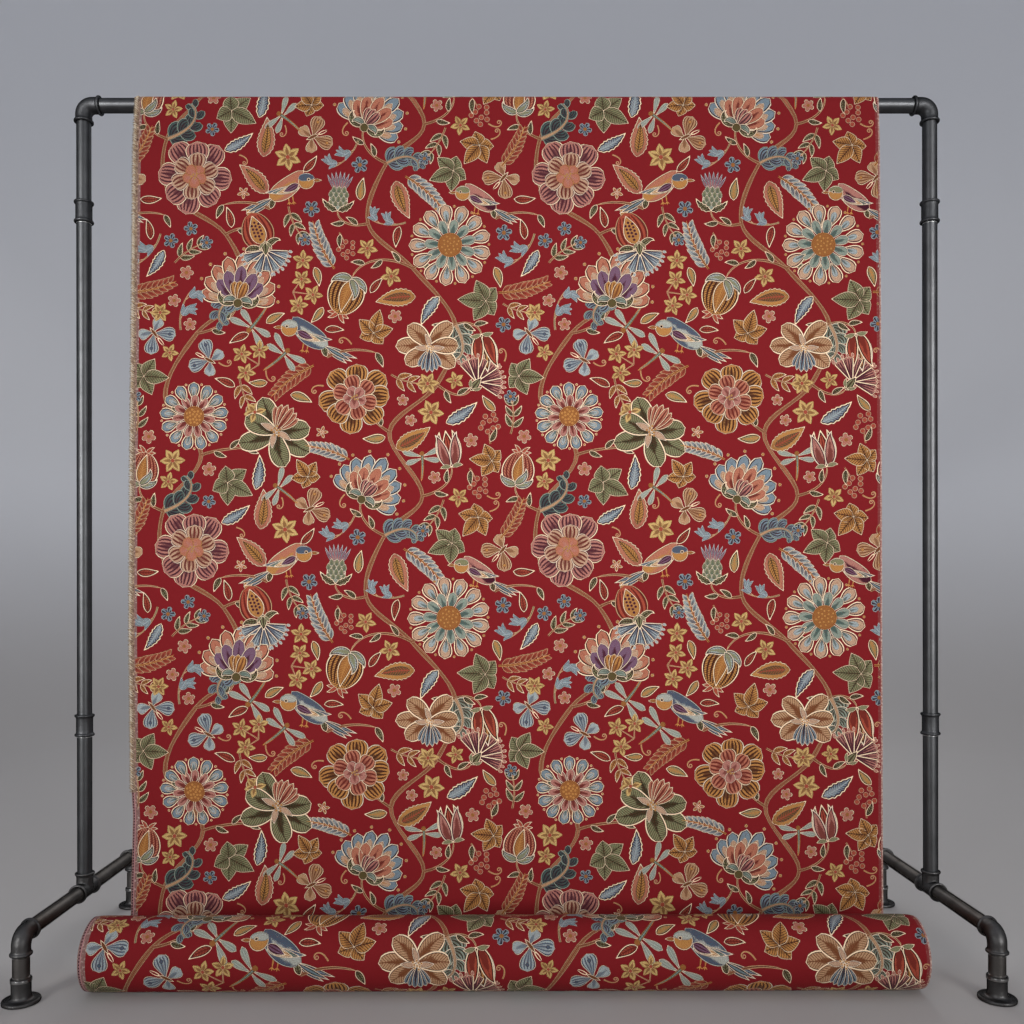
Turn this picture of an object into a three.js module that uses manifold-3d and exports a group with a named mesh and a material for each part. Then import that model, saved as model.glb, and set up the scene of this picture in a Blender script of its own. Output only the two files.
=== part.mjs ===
// A bolt of tapestry upholstery fabric hung over the rail of an iron pipe stand.
// Millimetres, +Z up. The front of the stand faces -Y, and the origin is on the floor, in its middle.
import * as THREE from 'three';
import { mergeVertices } from 'three/addons/utils/BufferGeometryUtils.js';
import Module from 'manifold-3d';

const wasm = await Module();
wasm.setup();

// ---- driving dimensions ----

const GAP = 0.3; // between pieces that touch
const SIDES = 20; // facets round a pipe or a fitting

const stand = {
  halfWidth: 801, // middle of the stand to an upright's axis
  railHeight: 1592, // floor to the rail's axis
  footHeight: 110, // floor to the foot pipes' axis
  footReach: 237, // an upright's axis to a leg's axis, front and rear alike
  upperCoupling: 1390,
  lowerCoupling: 420.5,
};

const pipeRadius = 13.45; // 3/4 inch pipe

const fitting = {
  reach: 33, // centre of an elbow or a tee to its face
  thread: 15, // how far a pipe goes into a fitting
  bodyRadius: 15,
  bendRadius: 19,
  beadRadius: 17.75, // the thick band round each mouth
  beadWidth: 8,
  beadEase: 2, // how far the bead slopes down to the body
  couplingLength: 41,
};

const flange = {
  discRadius: 30,
  discThickness: 6,
  hubRadius: 15.5,
  hubHeight: 40,
  collarRadius: 16.6, // the ring at the top of the hub
  collarWidth: 6,
};

const cloth = {
  thickness: 1.5,
  left: -698, // edges where the cloth lies on the rail
  right: 700,
  tailLength: 600, // from the rail's axis down to the cut end
  railClearance: 0.4,
  forward: 33, // how far the panel has come forward where the loop begins
  skew: -5, // sideways drift of the cloth between the rail and the roll
  tailSpread: 3.5, // how far the tail swings out behind the rail
  tailRipple: 1.6, // the tail's free end ripples this much more than the panel
  joinGap: 0.4, // the loose length stops this far under the end of the roll's outer turn
  steps: 12, // sections across the width
};

const roll = {
  radius: 61.4,
  axisY: -185,
  turn: cloth.thickness + GAP, // what one turn adds to the radius
  flatHalfWidth: 10, // half of the flat spot under it
  left: -704,
  right: 690,
  facets: 44,
};
roll.bottomRadius = roll.radius - roll.turn * 0.75;
roll.axisZ = Math.sqrt(roll.bottomRadius ** 2 - roll.flatHalfWidth ** 2);

// ---- finishes ----

const steel = new THREE.MeshStandardMaterial({ color: 0x2d2e30, roughness: 0.42, metalness: 0.85 });
const castIron = new THREE.MeshStandardMaterial({ color: 0x252627, roughness: 0.6, metalness: 0.75 });
const tapestry = new THREE.MeshStandardMaterial({ color: 0x7d1a22, roughness: 0.9, metalness: 0 });

const part = new THREE.Group();

function place(name, geometry, material, x = 0, y = 0, z = 0) {
  const mesh = new THREE.Mesh(geometry, material);
  mesh.name = name;
  mesh.position.set(x, y, z);
  part.add(mesh);
}

// ---- turning, joining and cutting ----

// Every shape of revolution is made along +Y, then turned to the way it points.
const turns = {
  'x': [0, 0, -90],
  'y': [0, 0, 0],
  '-y': [0, 0, 180],
  'z': [90, 0, 0],
  '-z': [-90, 0, 0],
};

function turned(geometry, way) {
  const [x, y, z] = turns[way].map(THREE.MathUtils.degToRad);
  return geometry.rotateX(x).rotateY(y).rotateZ(z);
}

function toSolid(geometry) {
  geometry.deleteAttribute('normal');
  geometry.deleteAttribute('uv');
  const merged = mergeVertices(geometry, 1e-4);
  return new wasm.Manifold(new wasm.Mesh({
    numProp: 3,
    vertProperties: new Float32Array(merged.attributes.position.array),
    triVerts: new Uint32Array(merged.index.array),
  }));
}

function toGeometry(solid) {
  const mesh = solid.getMesh();
  const geometry = new THREE.BufferGeometry();
  geometry.setAttribute('position', new THREE.BufferAttribute(mesh.vertProperties, 3));
  geometry.setIndex(new THREE.BufferAttribute(mesh.triVerts, 1));
  return geometry;
}

// A round bar along +Y between two places on its axis.
function bar(radius, from, to) {
  return new THREE.CylinderGeometry(radius, radius, to - from, SIDES).translate(0, (from + to) / 2, 0);
}

// ---- fittings ----

// One mouth of a fitting: a straight neck out to a beaded face.
function mouth(way) {
  const { reach, bodyRadius, beadRadius, beadWidth, beadEase } = fitting;
  const neckStart = fitting.bendRadius - GAP;
  const profile = [
    [0, neckStart],
    [bodyRadius, neckStart],
    [bodyRadius, reach - beadWidth],
    [beadRadius, reach - beadWidth + beadEase],
    [beadRadius, reach - beadEase],
    [beadRadius - beadEase / 2, reach],
    [0, reach],
  ];
  const outline = profile.map(([radius, along]) => new THREE.Vector2(radius, along));
  return toSolid(turned(new THREE.LatheGeometry(outline, SIDES), way));
}

// The threaded hole that a pipe sits in.
function socket(way) {
  const bottom = fitting.reach - fitting.thread - GAP;
  return toSolid(turned(bar(pipeRadius + GAP, bottom, fitting.reach + 1), way));
}

// The quarter bend from the +X mouth round to the -Z mouth.
class Knee extends THREE.Curve {
  getPoint(t, target = new THREE.Vector3()) {
    const angle = (1 - t) * Math.PI / 2;
    const r = fitting.bendRadius;
    return target.set(r - r * Math.cos(angle), 0, -r + r * Math.sin(angle));
  }
}

function elbow() {
  const section = new THREE.Shape().absarc(0, 0, fitting.bodyRadius, 0, 2 * Math.PI);
  const knee = toSolid(new THREE.ExtrudeGeometry(section, {
    extrudePath: new Knee(),
    steps: 6,
    curveSegments: SIDES / 2,
  }));
  const body = knee.add(mouth('x')).add(mouth('-z'));
  return toGeometry(body.subtract(socket('x')).subtract(socket('-z')));
}

function tee() {
  const { bodyRadius, bendRadius } = fitting;
  const run = toSolid(bar(bodyRadius, -bendRadius, bendRadius));
  const branch = toSolid(turned(bar(bodyRadius, 0, bendRadius), 'z'));
  let body = run.add(branch);
  for (const way of ['y', '-y', 'z']) body = body.add(mouth(way)).subtract(socket(way));
  return toGeometry(body);
}

// A straight socket with a bead at each end, open right through.
function coupling() {
  const { bodyRadius, beadRadius, beadWidth, beadEase, couplingLength } = fitting;
  const half = couplingLength / 2;
  const bore = pipeRadius + GAP;
  const profile = [
    [bore, -half],
    [beadRadius - beadEase / 2, -half],
    [beadRadius, -half + beadEase],
    [beadRadius, -half + beadWidth - beadEase],
    [bodyRadius, -half + beadWidth],
    [bodyRadius, half - beadWidth],
    [beadRadius, half - beadWidth + beadEase],
    [beadRadius, half - beadEase],
    [beadRadius - beadEase / 2, half],
    [bore, half],
    [bore, -half],
  ];
  const outline = profile.map(([radius, along]) => new THREE.Vector2(radius, along));
  return turned(new THREE.LatheGeometry(outline, SIDES), 'z');
}

// A round floor plate with a tall threaded hub.
function floorFlange() {
  const { discRadius, discThickness, hubRadius, hubHeight, collarRadius, collarWidth } = flange;
  const bore = pipeRadius + GAP;
  const profile = [
    [bore, 0],
    [discRadius, 0],
    [discRadius, discThickness - 1],
    [discRadius - 1, discThickness],
    [hubRadius + 2, discThickness + 1],
    [hubRadius, discThickness + 4],
    [hubRadius, hubHeight - collarWidth],
    [collarRadius, hubHeight - collarWidth + 1],
    [collarRadius, hubHeight],
    [bore, hubHeight],
    [bore, 0],
  ];
  const outline = profile.map(([radius, along]) => new THREE.Vector2(radius, along));
  return turned(new THREE.LatheGeometry(outline, SIDES), 'z');
}

// ---- the stand ----

const seat = fitting.reach - fitting.thread; // centre of a fitting to the end of the pipe in it
const couplingSeat = fitting.couplingLength / 2 - fitting.thread;

place('rail_pipe', turned(bar(pipeRadius, -stand.halfWidth + seat, stand.halfWidth - seat), 'x'),
  steel, 0, 0, stand.railHeight);

const uprights = [
  { name: 'lower', from: stand.footHeight + seat, to: stand.lowerCoupling - couplingSeat },
  { name: 'middle', from: stand.lowerCoupling + couplingSeat, to: stand.upperCoupling - couplingSeat },
  { name: 'upper', from: stand.upperCoupling + couplingSeat, to: stand.railHeight - seat },
];

for (const [side, sign] of [['left', -1], ['right', 1]]) {
  const x = sign * stand.halfWidth;
  const corner = elbow();
  if (sign > 0) corner.rotateZ(Math.PI);
  place(`top_elbow_${side}`, corner, castIron, x, 0, stand.railHeight);
  for (const { name, from, to } of uprights) {
    place(`upright_${side}_${name}`, turned(bar(pipeRadius, from, to), 'z'), steel, x);
  }
  place(`coupling_${side}_upper`, coupling(), castIron, x, 0, stand.upperCoupling);
  place(`coupling_${side}_lower`, coupling(), castIron, x, 0, stand.lowerCoupling);
  place(`base_tee_${side}`, tee(), castIron, x, 0, stand.footHeight);

  for (const [end, way] of [['front', -1], ['rear', 1]]) {
    const y = way * stand.footReach;
    const inner = way * seat;
    const outer = way * (stand.footReach - seat);
    const footPipe = bar(pipeRadius, Math.min(inner, outer), Math.max(inner, outer));
    place(`foot_pipe_${side}_${end}`, footPipe, steel, x, 0, stand.footHeight);
    const heel = elbow().rotateZ(-way * Math.PI / 2);
    place(`foot_elbow_${side}_${end}`, heel, castIron, x, y, stand.footHeight);
    const nipple = turned(bar(pipeRadius, flange.hubHeight - fitting.thread, stand.footHeight - seat), 'z');
    place(`leg_nipple_${side}_${end}`, nipple, steel, x, y);
    place(`floor_flange_${side}_${end}`, floorFlange(), castIron, x, y);
  }
}

// ---- the cloth ----

const alongX = new THREE.Matrix4().makeBasis(
  new THREE.Vector3(0, 1, 0), // a section's first axis becomes Y
  new THREE.Vector3(0, 0, 1), // its second becomes Z
  new THREE.Vector3(1, 0, 0), // and it is extruded along X
);

// The middle of the cloth's thickness, seen from the side, from the cut end to where it joins the roll.
function clothRoute() {
  const { lerp } = THREE.MathUtils;
  const rail = pipeRadius + cloth.railClearance + cloth.thickness / 2;
  const loopZ = roll.axisZ - cloth.joinGap;
  const loopEnd = roll.axisY + roll.radius - cloth.thickness / 2;
  const loopRadius = (-cloth.forward - loopEnd) / 2;
  const stretches = [
    { steps: 6, at: (f) => [rail, lerp(stand.railHeight - cloth.tailLength, stand.railHeight, f)] },
    { steps: 14, at: (f) => arc(0, stand.railHeight, rail, Math.PI * f) },
    { steps: 12, at: (f) => [lerp(-rail, -cloth.forward, f), lerp(stand.railHeight, loopZ, f)] },
    { steps: 14, at: (f) => arc(-cloth.forward - loopRadius, loopZ, loopRadius, -Math.PI * f) },
  ];
  const points = [];
  for (const { steps, at } of stretches) {
    for (let i = points.length ? 1 : 0; i <= steps; i += 1) {
      points.push(new THREE.Vector2(...at(i / steps)));
    }
  }
  return points;
}

function arc(centreY, centreZ, radius, angle) {
  return [centreY + radius * Math.cos(angle), centreZ + radius * Math.sin(angle)];
}

// Gentle ripples across the hanging cloth: a row for each, with its length, its height and its phase
// on the panel, on the tail and along the tail's cut end.
const ripples = [
  { length: 1130, height: 1.7, panel: 0.5, tail: 1.8, cutEnd: 3.1 },
  { length: 520, height: 0.9, panel: 2.1, tail: 3.4, cutEnd: 4.7 },
  { length: 340, height: 0.5, panel: 4.0, tail: 5.3, cutEnd: 0.4 },
];

function ripple(x, phase) {
  const wave = (row) => row.height * Math.sin(2 * Math.PI * x / row.length + row[phase]);
  return ripples.reduce((sum, row) => sum + wave(row), 0);
}

function hangingCloth() {
  const middle = clothRoute();
  const half = cloth.thickness / 2;
  const normals = middle.map((point, i) => {
    const before = middle[Math.max(i - 1, 0)];
    const after = middle[Math.min(i + 1, middle.length - 1)];
    return new THREE.Vector2(before.y - after.y, after.x - before.x).normalize();
  });
  const face = middle.map((point, i) => point.clone().addScaledVector(normals[i], -half));
  const back = middle.map((point, i) => point.clone().addScaledVector(normals[i], half));
  const section = new THREE.Shape([...face, ...back.reverse()]);
  const sheet = new THREE.ExtrudeGeometry(section, {
    depth: cloth.right - cloth.left,
    steps: cloth.steps,
    bevelEnabled: false,
  });
  sheet.applyMatrix4(alongX).translate(cloth.left, 0, 0);

  const { smoothstep, clamp } = THREE.MathUtils;
  const spots = sheet.attributes.position;
  for (let i = 0; i < spots.count; i += 1) {
    const x = spots.getX(i);
    const y = spots.getY(i);
    const z = spots.getZ(i);
    const below = stand.railHeight - z;
    const loose = smoothstep(below, 30, 500); // the ripples grow from the rail down
    if (y > 0) {
      spots.setY(i, y + loose * (cloth.tailSpread + cloth.tailRipple * ripple(x, 'tail')));
      spots.setZ(i, z + loose * ripple(x, 'cutEnd'));
    } else {
      const aboveLoop = smoothstep(z, roll.axisZ, roll.axisZ + 240); // and are gone where the loop begins
      const fallen = clamp(below / (stand.railHeight - roll.axisZ), 0, 1);
      spots.setY(i, y + loose * aboveLoop * ripple(x, 'panel'));
      spots.setX(i, x + cloth.skew * fallen);
    }
  }
  return sheet;
}

// The roll narrows a little at its ends, where the turns are less firm.
const rollStations = [
  { x: roll.left, size: 0.972 },
  { x: roll.left + 7, size: 0.993 },
  { x: roll.left + 24, size: 1 },
  { x: (roll.left + roll.right) / 2, size: 1 },
  { x: roll.right - 40, size: 1 },
  { x: roll.right - 12, size: 0.988 },
  { x: roll.right, size: 0.955 },
];

// The outer turn seen from the side: it starts at the back, where the cloth comes up to it, goes over
// the top, down the front and under, and ends one thickness further in.
function rolledCloth() {
  const points = [];
  for (let i = 0; i <= roll.facets; i += 1) {
    const radius = roll.radius - roll.turn * i / roll.facets;
    const [y, z] = arc(0, 0, radius, 2 * Math.PI * i / roll.facets);
    points.push(new THREE.Vector2(y, Math.max(z, -roll.axisZ)));
  }
  const bays = rollStations.length - 1;
  const section = new THREE.Shape(points);
  const log = new THREE.ExtrudeGeometry(section, { depth: bays, steps: bays, bevelEnabled: false });
  log.applyMatrix4(alongX); // X now counts the stations
  const spots = log.attributes.position;
  for (let i = 0; i < spots.count; i += 1) {
    const { x, size } = rollStations[Math.round(spots.getX(i))];
    spots.setXYZ(i, x, spots.getY(i) * size, spots.getZ(i) * size);
  }
  return log.translate(0, roll.axisY, roll.axisZ);
}

place('cloth_hanging', hangingCloth(), tapestry);
place('cloth_roll', rolledCloth(), tapestry);

export default part;
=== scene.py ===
"""A bolt of figured tapestry cloth on an iron pipe stand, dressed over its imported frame."""
import math

import bpy
import numpy as np
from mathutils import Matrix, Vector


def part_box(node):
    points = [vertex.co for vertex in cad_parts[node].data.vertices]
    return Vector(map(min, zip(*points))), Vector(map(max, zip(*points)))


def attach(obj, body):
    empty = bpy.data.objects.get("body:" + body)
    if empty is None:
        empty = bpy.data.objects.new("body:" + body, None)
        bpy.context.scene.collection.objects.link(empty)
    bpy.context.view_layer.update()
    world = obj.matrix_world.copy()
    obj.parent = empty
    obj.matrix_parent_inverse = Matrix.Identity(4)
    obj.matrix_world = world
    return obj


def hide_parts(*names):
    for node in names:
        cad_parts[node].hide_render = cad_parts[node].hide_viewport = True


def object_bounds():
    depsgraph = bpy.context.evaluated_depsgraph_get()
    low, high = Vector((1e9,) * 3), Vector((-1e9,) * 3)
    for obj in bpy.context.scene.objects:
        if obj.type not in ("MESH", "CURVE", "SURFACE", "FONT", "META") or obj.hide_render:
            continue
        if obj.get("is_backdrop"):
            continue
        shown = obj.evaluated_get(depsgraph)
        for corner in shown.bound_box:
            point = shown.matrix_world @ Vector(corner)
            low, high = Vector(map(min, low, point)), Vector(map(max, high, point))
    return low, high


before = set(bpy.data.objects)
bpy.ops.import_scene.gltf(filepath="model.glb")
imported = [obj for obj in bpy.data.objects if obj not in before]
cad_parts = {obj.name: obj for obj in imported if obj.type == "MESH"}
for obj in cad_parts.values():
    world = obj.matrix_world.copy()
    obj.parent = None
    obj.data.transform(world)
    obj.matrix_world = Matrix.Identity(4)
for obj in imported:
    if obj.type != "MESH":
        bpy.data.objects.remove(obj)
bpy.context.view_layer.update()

# ---- The room ----
# The stand is seen square on, from a little under half its height.
# A pale studio floor sweeps up into a grey surround, and two soft boxes light the cloth.

scene = bpy.context.scene
scene.view_settings.view_transform = "Standard"

eye = bpy.data.objects.new("camera", bpy.data.cameras.new("camera"))
eye.data.sensor_width = 36
eye.data.lens = 32.95
eye.data.shift_x = 0.0107
eye.data.shift_y = 0.0788
eye.location = (-0.0181, -1.7752, 0.6698)
eye.rotation_euler = (math.radians(90), math.radians(0.08), math.radians(-0.166))
scene.collection.objects.link(eye)
scene.camera = eye

# Each soft box: its name, where it stands, what it is aimed at, its size, its watts,
# and how many degrees its light spreads.
soft_boxes = [
    ("left_box", (-2.0, -2.7, 1.35), (-0.45, 0, 0.95), (1.2, 1.8), 8.9, 50),
    ("right_box", (1.75, -2.7, 1.3), (0.45, 0, 0.95), (1.2, 1.8), 8.7, 50),
    ("top_box", (0, -1.9, 3.6), (0, 0, 0.95), (2.2, 1.6), 3, 180),
    ("back_box", (0.4, 3.0, 3.0), (0, 0, 0.95), (2.4, 2.0), 40, 180),
]
for name, place, aim, size, watts, spread in soft_boxes:
    lamp = bpy.data.lights.new(name, "AREA")
    lamp.shape = "RECTANGLE"
    lamp.size, lamp.size_y = size
    lamp.energy = watts
    lamp.spread = math.radians(spread)
    soft_box = bpy.data.objects.new(name, lamp)
    soft_box.location = place
    toward = np.array(aim) - np.array(place)
    tilt = math.acos(-toward[2] / np.linalg.norm(toward))
    soft_box.rotation_euler = (tilt, 0, math.atan2(toward[1], toward[0]) - math.pi / 2)
    scene.collection.objects.link(soft_box)

scene.world = bpy.data.worlds.new("room_light")
scene.world.use_nodes = True
sky = scene.world.node_tree.nodes["Background"]
sky.inputs["Color"].default_value = (0.86, 0.9, 1.0, 1)
sky.inputs["Strength"].default_value = 0.48


def new_mesh(name, points, faces, crease=None):
    """An object of these points and faces, smooth but for edges sharper than crease degrees."""
    mesh = bpy.data.meshes.new(name)
    mesh.from_pydata([tuple(p) for p in points], [], [tuple(f) for f in faces])
    mesh.shade_smooth()
    if crease:
        mesh.set_sharp_from_angle(angle=math.radians(crease))
    made = bpy.data.objects.new(name, mesh)
    scene.collection.objects.link(made)
    return made


def rings_surface(rings, sides):
    """Quads between rings of points, with the first and the last ring closed by a flat face."""
    faces = [tuple(range(sides))[::-1]]
    for start in range(0, (rings - 1) * sides, sides):
        for side in range(sides):
            after = (side + 1) % sides
            faces.append((start + side, start + after, start + sides + after, start + sides + side))
    faces.append(tuple((rings - 1) * sides + side for side in range(sides)))
    return faces


def turned_shape(profile, middle, axis, sides=40):
    """The points and faces of a solid turned about a line through middle, along axis (0, 1 or 2 for X, Y
    or Z). The profile has a row of radius and place along that line for each ring."""
    first, second = np.eye(3)[(axis + 1) % 3], np.eye(3)[(axis + 2) % 3]
    points = []
    for radius, along in profile:
        centre = np.array(middle, float)
        centre[axis] = along
        for k in range(sides):
            a = 2 * math.pi * k / sides
            points.append(centre + radius * (math.cos(a) * first + math.sin(a) * second))
    return points, rings_surface(len(profile), sides)


class Finish:
    """A material as it is mixed: its shader, and the nodes whose outputs lead to it."""

    def __init__(self, name, **values):
        self.material = bpy.data.materials.new(name)
        self.material.use_nodes = True
        self.tree = self.material.node_tree
        self.shader = self.tree.nodes["Principled BSDF"]
        for socket, value in values.items():
            self.shader.inputs[socket.replace("_", " ")].default_value = value

    def node(self, kind, output, settings=None, **inputs):
        """An output of a new node. Each input is a number, a colour or another node's output."""
        made = self.tree.nodes.new("ShaderNode" + kind)
        for name, value in (settings or {}).items():
            setattr(made, name, value)
        for name, value in inputs.items():
            socket = made.inputs[int(name[1:]) if name[1:].isdigit() else name.replace("_", " ")]
            if isinstance(value, Wire):
                self.tree.links.new(value.socket, socket)
            else:
                socket.default_value = value
        return Wire(self, made.outputs[output])

    def noise(self, place, scale, detail=2, output="Fac", **more):
        return self.node("TexNoise", output, Vector=place, Scale=scale, Detail=detail, **more)

    def blend(self, share, first, second, **settings):
        """The second colour laid over the first by share. A colour is three numbers or an output."""
        first, second = (c if isinstance(c, Wire) else (*c, 1) for c in (first, second))
        return self.node("Mix", 2, {"data_type": "RGBA", **settings}, _0=share, _6=first, _7=second)

    def ranged(self, value, to_low, to_high, low=0, high=1, **settings):
        """The value, moved from between low and high to between to_low and to_high."""
        ends = {"From_Min": low, "From_Max": high, "To_Min": to_low, "To_Max": to_high}
        return self.node("MapRange", "Result", settings, Value=value, **ends)

    def bump(self, height, strength, distance, **more):
        return self.node("Bump", "Normal", Strength=strength, Distance=distance, Height=height, **more)

    def lead(self, socket, wire):
        """Leads an output to the shader."""
        self.tree.links.new(wire.socket, self.shader.inputs[socket])


def joining(operation):
    return lambda wire, other: wire.math(operation, other)


class Wire:
    """An output of a finish's node. Adding to it, multiplying it or comparing it makes another node."""

    def __init__(self, finish, socket):
        self.finish, self.socket = finish, socket

    def math(self, operation, *others, clamp=False):
        inputs = {f"_{k}": value for k, value in enumerate((self, *others))}
        return self.finish.node("Math", "Value", {"operation": operation, "use_clamp": clamp}, **inputs)

    def scaled(self, times, plus, clamp=True):
        return self.math("MULTIPLY_ADD", times, plus, clamp=clamp)

    __add__ = joining("ADD")
    __sub__ = joining("SUBTRACT")
    __mul__ = joining("MULTIPLY")
    __lt__ = joining("LESS_THAN")
    __gt__ = joining("GREATER_THAN")


floor_reach = 4.6
wall_height = 5.5
sweep = 1.8
sweep_start = floor_reach - sweep
surround_profile = [(0.02, 0), (0.8, 0), (1.6, 0), (sweep_start, 0)]
for a in np.linspace(0.1, math.pi / 2, 14):
    surround_profile.append((sweep_start + sweep * math.sin(a), sweep - sweep * math.cos(a)))
surround_profile.append((floor_reach, wall_height))
surround_points, surround_faces = turned_shape(surround_profile, (0, 0, 0), 2, 96)
surround = new_mesh("studio_surround", surround_points, surround_faces[:-1])
surround.data.flip_normals()

grey = Finish("studio_grey", Roughness=0.95)
height = grey.node("SeparateXYZ", "Z", _0=grey.node("TexCoord", "Object"))
rise = grey.ranged(height, 0, 1, 0, 1.4, interpolation_type="SMOOTHSTEP")
grey.lead("Base Color", grey.blend(rise, (0.43, 0.41, 0.395), (0.88, 0.885, 0.90)))
surround.data.materials.append(grey.material)
surround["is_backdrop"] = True

# ---- Pipes ----
# Black lacquered steel pipe, sawn to length and threaded at both ends.
# Each screws into a fitting, and a little bright thread is left showing where it doesn't run home.

mm = 0.001
rail_low, rail_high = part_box("rail_pipe")
pipe_radius = (rail_high[2] - rail_low[2]) / 2
thread_depth = 0.9 * mm
thread_pitch = 1.81 * mm
in_fitting = 15 * mm
coupling_shows = 2 * mm
nipple_shows = 3.7 * mm


def iron(name, colour, rubbed, roughness, grain, pits):
    """Dark iron under lacquer: cloudy colour, uneven gloss and a fine grain, with edges that stay dark."""
    lacquer = Finish(name, Metallic=1.0, Specular_Tint=(0.1, 0.1, 0.1, 1))
    place = lacquer.node("TexCoord", "Object")
    cloud = lacquer.noise(place, 26, 5, Roughness=0.62)
    grains = lacquer.noise(place, grain, 3, Roughness=0.6)
    lacquer.lead("Base Color", lacquer.blend(lacquer.ranged(cloud, 0, 1, 0.35, 0.72), colour, rubbed))
    lacquer.lead("Roughness", lacquer.ranged(grains, roughness - 0.09, roughness + 0.11))
    lacquer.lead("Normal", lacquer.bump(grains, 0.5, pits))
    return lacquer.material


steel = iron("black_steel", (0.080, 0.0815, 0.084), (0.108, 0.110, 0.113), 0.41, 420, 0.00012)
# The foot pipes are the same black steel, painted a lighter, warmer colour to make up for the dimmer light
# near the floor: painted light.
foot_steel = iron("foot_steel_lightened", (0.096, 0.089, 0.083), (0.150, 0.140, 0.132), 0.44, 420, 0.00012)
bright_thread = Finish("cut_thread", Metallic=1.0, Base_Color=(0.62, 0.62, 0.6, 1))
swarf = bright_thread.noise(bright_thread.node("TexCoord", "Object"), 700)
bright_thread.lead("Roughness", bright_thread.ranged(swarf, 0.2, 0.5))
# At the feet the showing thread is a darker copy of the cut thread.
foot_thread = Finish("foot_thread", Metallic=1.0, Roughness=0.34, Base_Color=(0.2, 0.19, 0.18, 1))


def in_place_of(node, made, slot, *finishes):
    """Gives a piece its finishes, and puts it in the place of the frame's node."""
    for finish in finishes:
        made.data.materials.append(finish)
    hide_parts(node)
    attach(made, "root")


def centre_of(node):
    low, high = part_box(node)
    return [(a + b) / 2 for a, b in zip(low, high)]


def cut_ridges(length):
    """The rows of a thread that shows this far past the fitting: radius, and place from the pipe's end."""
    turns = int(round(length / thread_pitch))
    if not turns:
        return []
    rows = [(pipe_radius - 0.1 * mm, in_fitting - 0.5 * mm)]
    for k in range(turns):
        along = in_fitting + k * thread_pitch
        rows.append((pipe_radius - thread_depth, along + 0.15 * thread_pitch))
        rows.append((pipe_radius, along + 0.7 * thread_pitch))
    return [*rows, (pipe_radius, in_fitting + turns * thread_pitch + 0.2 * mm)]


def pipe(node, axis, shows, finish, thread=bright_thread):
    """The pipe of a node. shows is how much thread is seen past the fitting, at its low and high end."""
    low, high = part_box(node)
    start, end = low[axis], high[axis]
    profile = [(pipe_radius - 1.2 * mm, start), (pipe_radius - 0.2 * mm, start + 0.8 * mm)]
    profile += [(radius, start + along) for radius, along in cut_ridges(shows[0])]
    profile += [(radius, end - along) for radius, along in cut_ridges(shows[1])[::-1]]
    profile += [(pipe_radius - 0.2 * mm, end - 0.8 * mm), (pipe_radius - 1.2 * mm, end)]
    made = new_mesh(node + "_look", *turned_shape(profile, centre_of(node), axis), 38)
    for face in made.data.polygons:
        along = face.center[axis]
        past_low, past_high = along - start - in_fitting, end - along - in_fitting
        if 0 < past_low < shows[0] or 0 < past_high < shows[1]:
            face.material_index = 1
    in_place_of(node, made, "steel_pipe", finish, thread.material)


pipe("rail_pipe", 0, (0, 0), steel)
for side in ("left", "right"):
    pipe(f"upright_{side}_upper", 2, (0, 0), steel)
    pipe(f"upright_{side}_middle", 2, (0, coupling_shows), steel)
    pipe(f"upright_{side}_lower", 2, (0, coupling_shows), steel)
    for end in ("front", "rear"):
        pipe(f"foot_pipe_{side}_{end}", 1, (0, 0), foot_steel)
        pipe(f"leg_nipple_{side}_{end}", 2, (nipple_shows, nipple_shows), foot_steel, foot_thread)

# ---- Fittings ----
# Malleable iron castings, tapped inside. A raised bead runs round each mouth, and the pipes screw into them.
# The floor plates are the same casting: a flat disc under a tall hub.

cast_iron = iron("cast_iron", (0.056, 0.057, 0.059), (0.098, 0.099, 0.102), 0.47, 300, 0.0008)
# The fittings at the feet are the same castings, painted lighter to make up for the dimmer light near the
# floor: painted light.
foot_iron = iron("cast_iron_lightened_at_feet", (0.066, 0.064, 0.063), (0.122, 0.119, 0.117), 0.46, 300, 0.0008)
collar_iron = iron("turned_collar", (0.20, 0.20, 0.195), (0.34, 0.34, 0.33), 0.22, 500, 0.00005)

body_radius = 15 * mm
reach = 33 * mm
bend_radius = 19 * mm
tee_grain = 0.9 * mm

# From the plain neck out to the face: radius, and how far short of the face, in millimetres.
mouth_rows = [
    (15.0, 9.0), (15.2, 7.0), (15.6, 5.6), (16.7, 4.9), (17.45, 4.0), (17.75, 2.8),
    (17.7, 1.7), (17.3, 0.7), (16.5, 0.1), (15.6, 0.0), (13.9, 0.0), (13.7, 1.5),
]
# Up the side of a floor plate, radius and height, and then up its hub, radius and how far short of
# the top, in millimetres.
plate_rows = [
    (28.6, 0.0), (29.7, 0.6), (30.0, 1.6), (30.0, 4.2), (29.4, 5.3), (28.2, 5.9),
    (26.5, 6.1), (20.5, 6.6), (17.6, 7.6), (16.2, 9.6), (15.7, 12.5), (15.5, 18),
]
collar_low, collar_high = 5.6, 1.0
hub_rows = [
    (15.5, 7.5), (15.9, 6.4), (16.6, collar_low), (16.6, collar_high),
    (16.2, 0.2), (15.4, 0), (13.9, 0), (13.6, 1.5),
]


def mouth(face, way):
    """The rows of a mouth, from its neck. Its face is at face, and way (1 or -1) points to the neck."""
    return [(radius * mm, face + way * short * mm) for radius, short in mouth_rows]


def casting(node, made, finish, *more):
    in_place_of(node, made, "iron_fitting", finish, *more)


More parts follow.
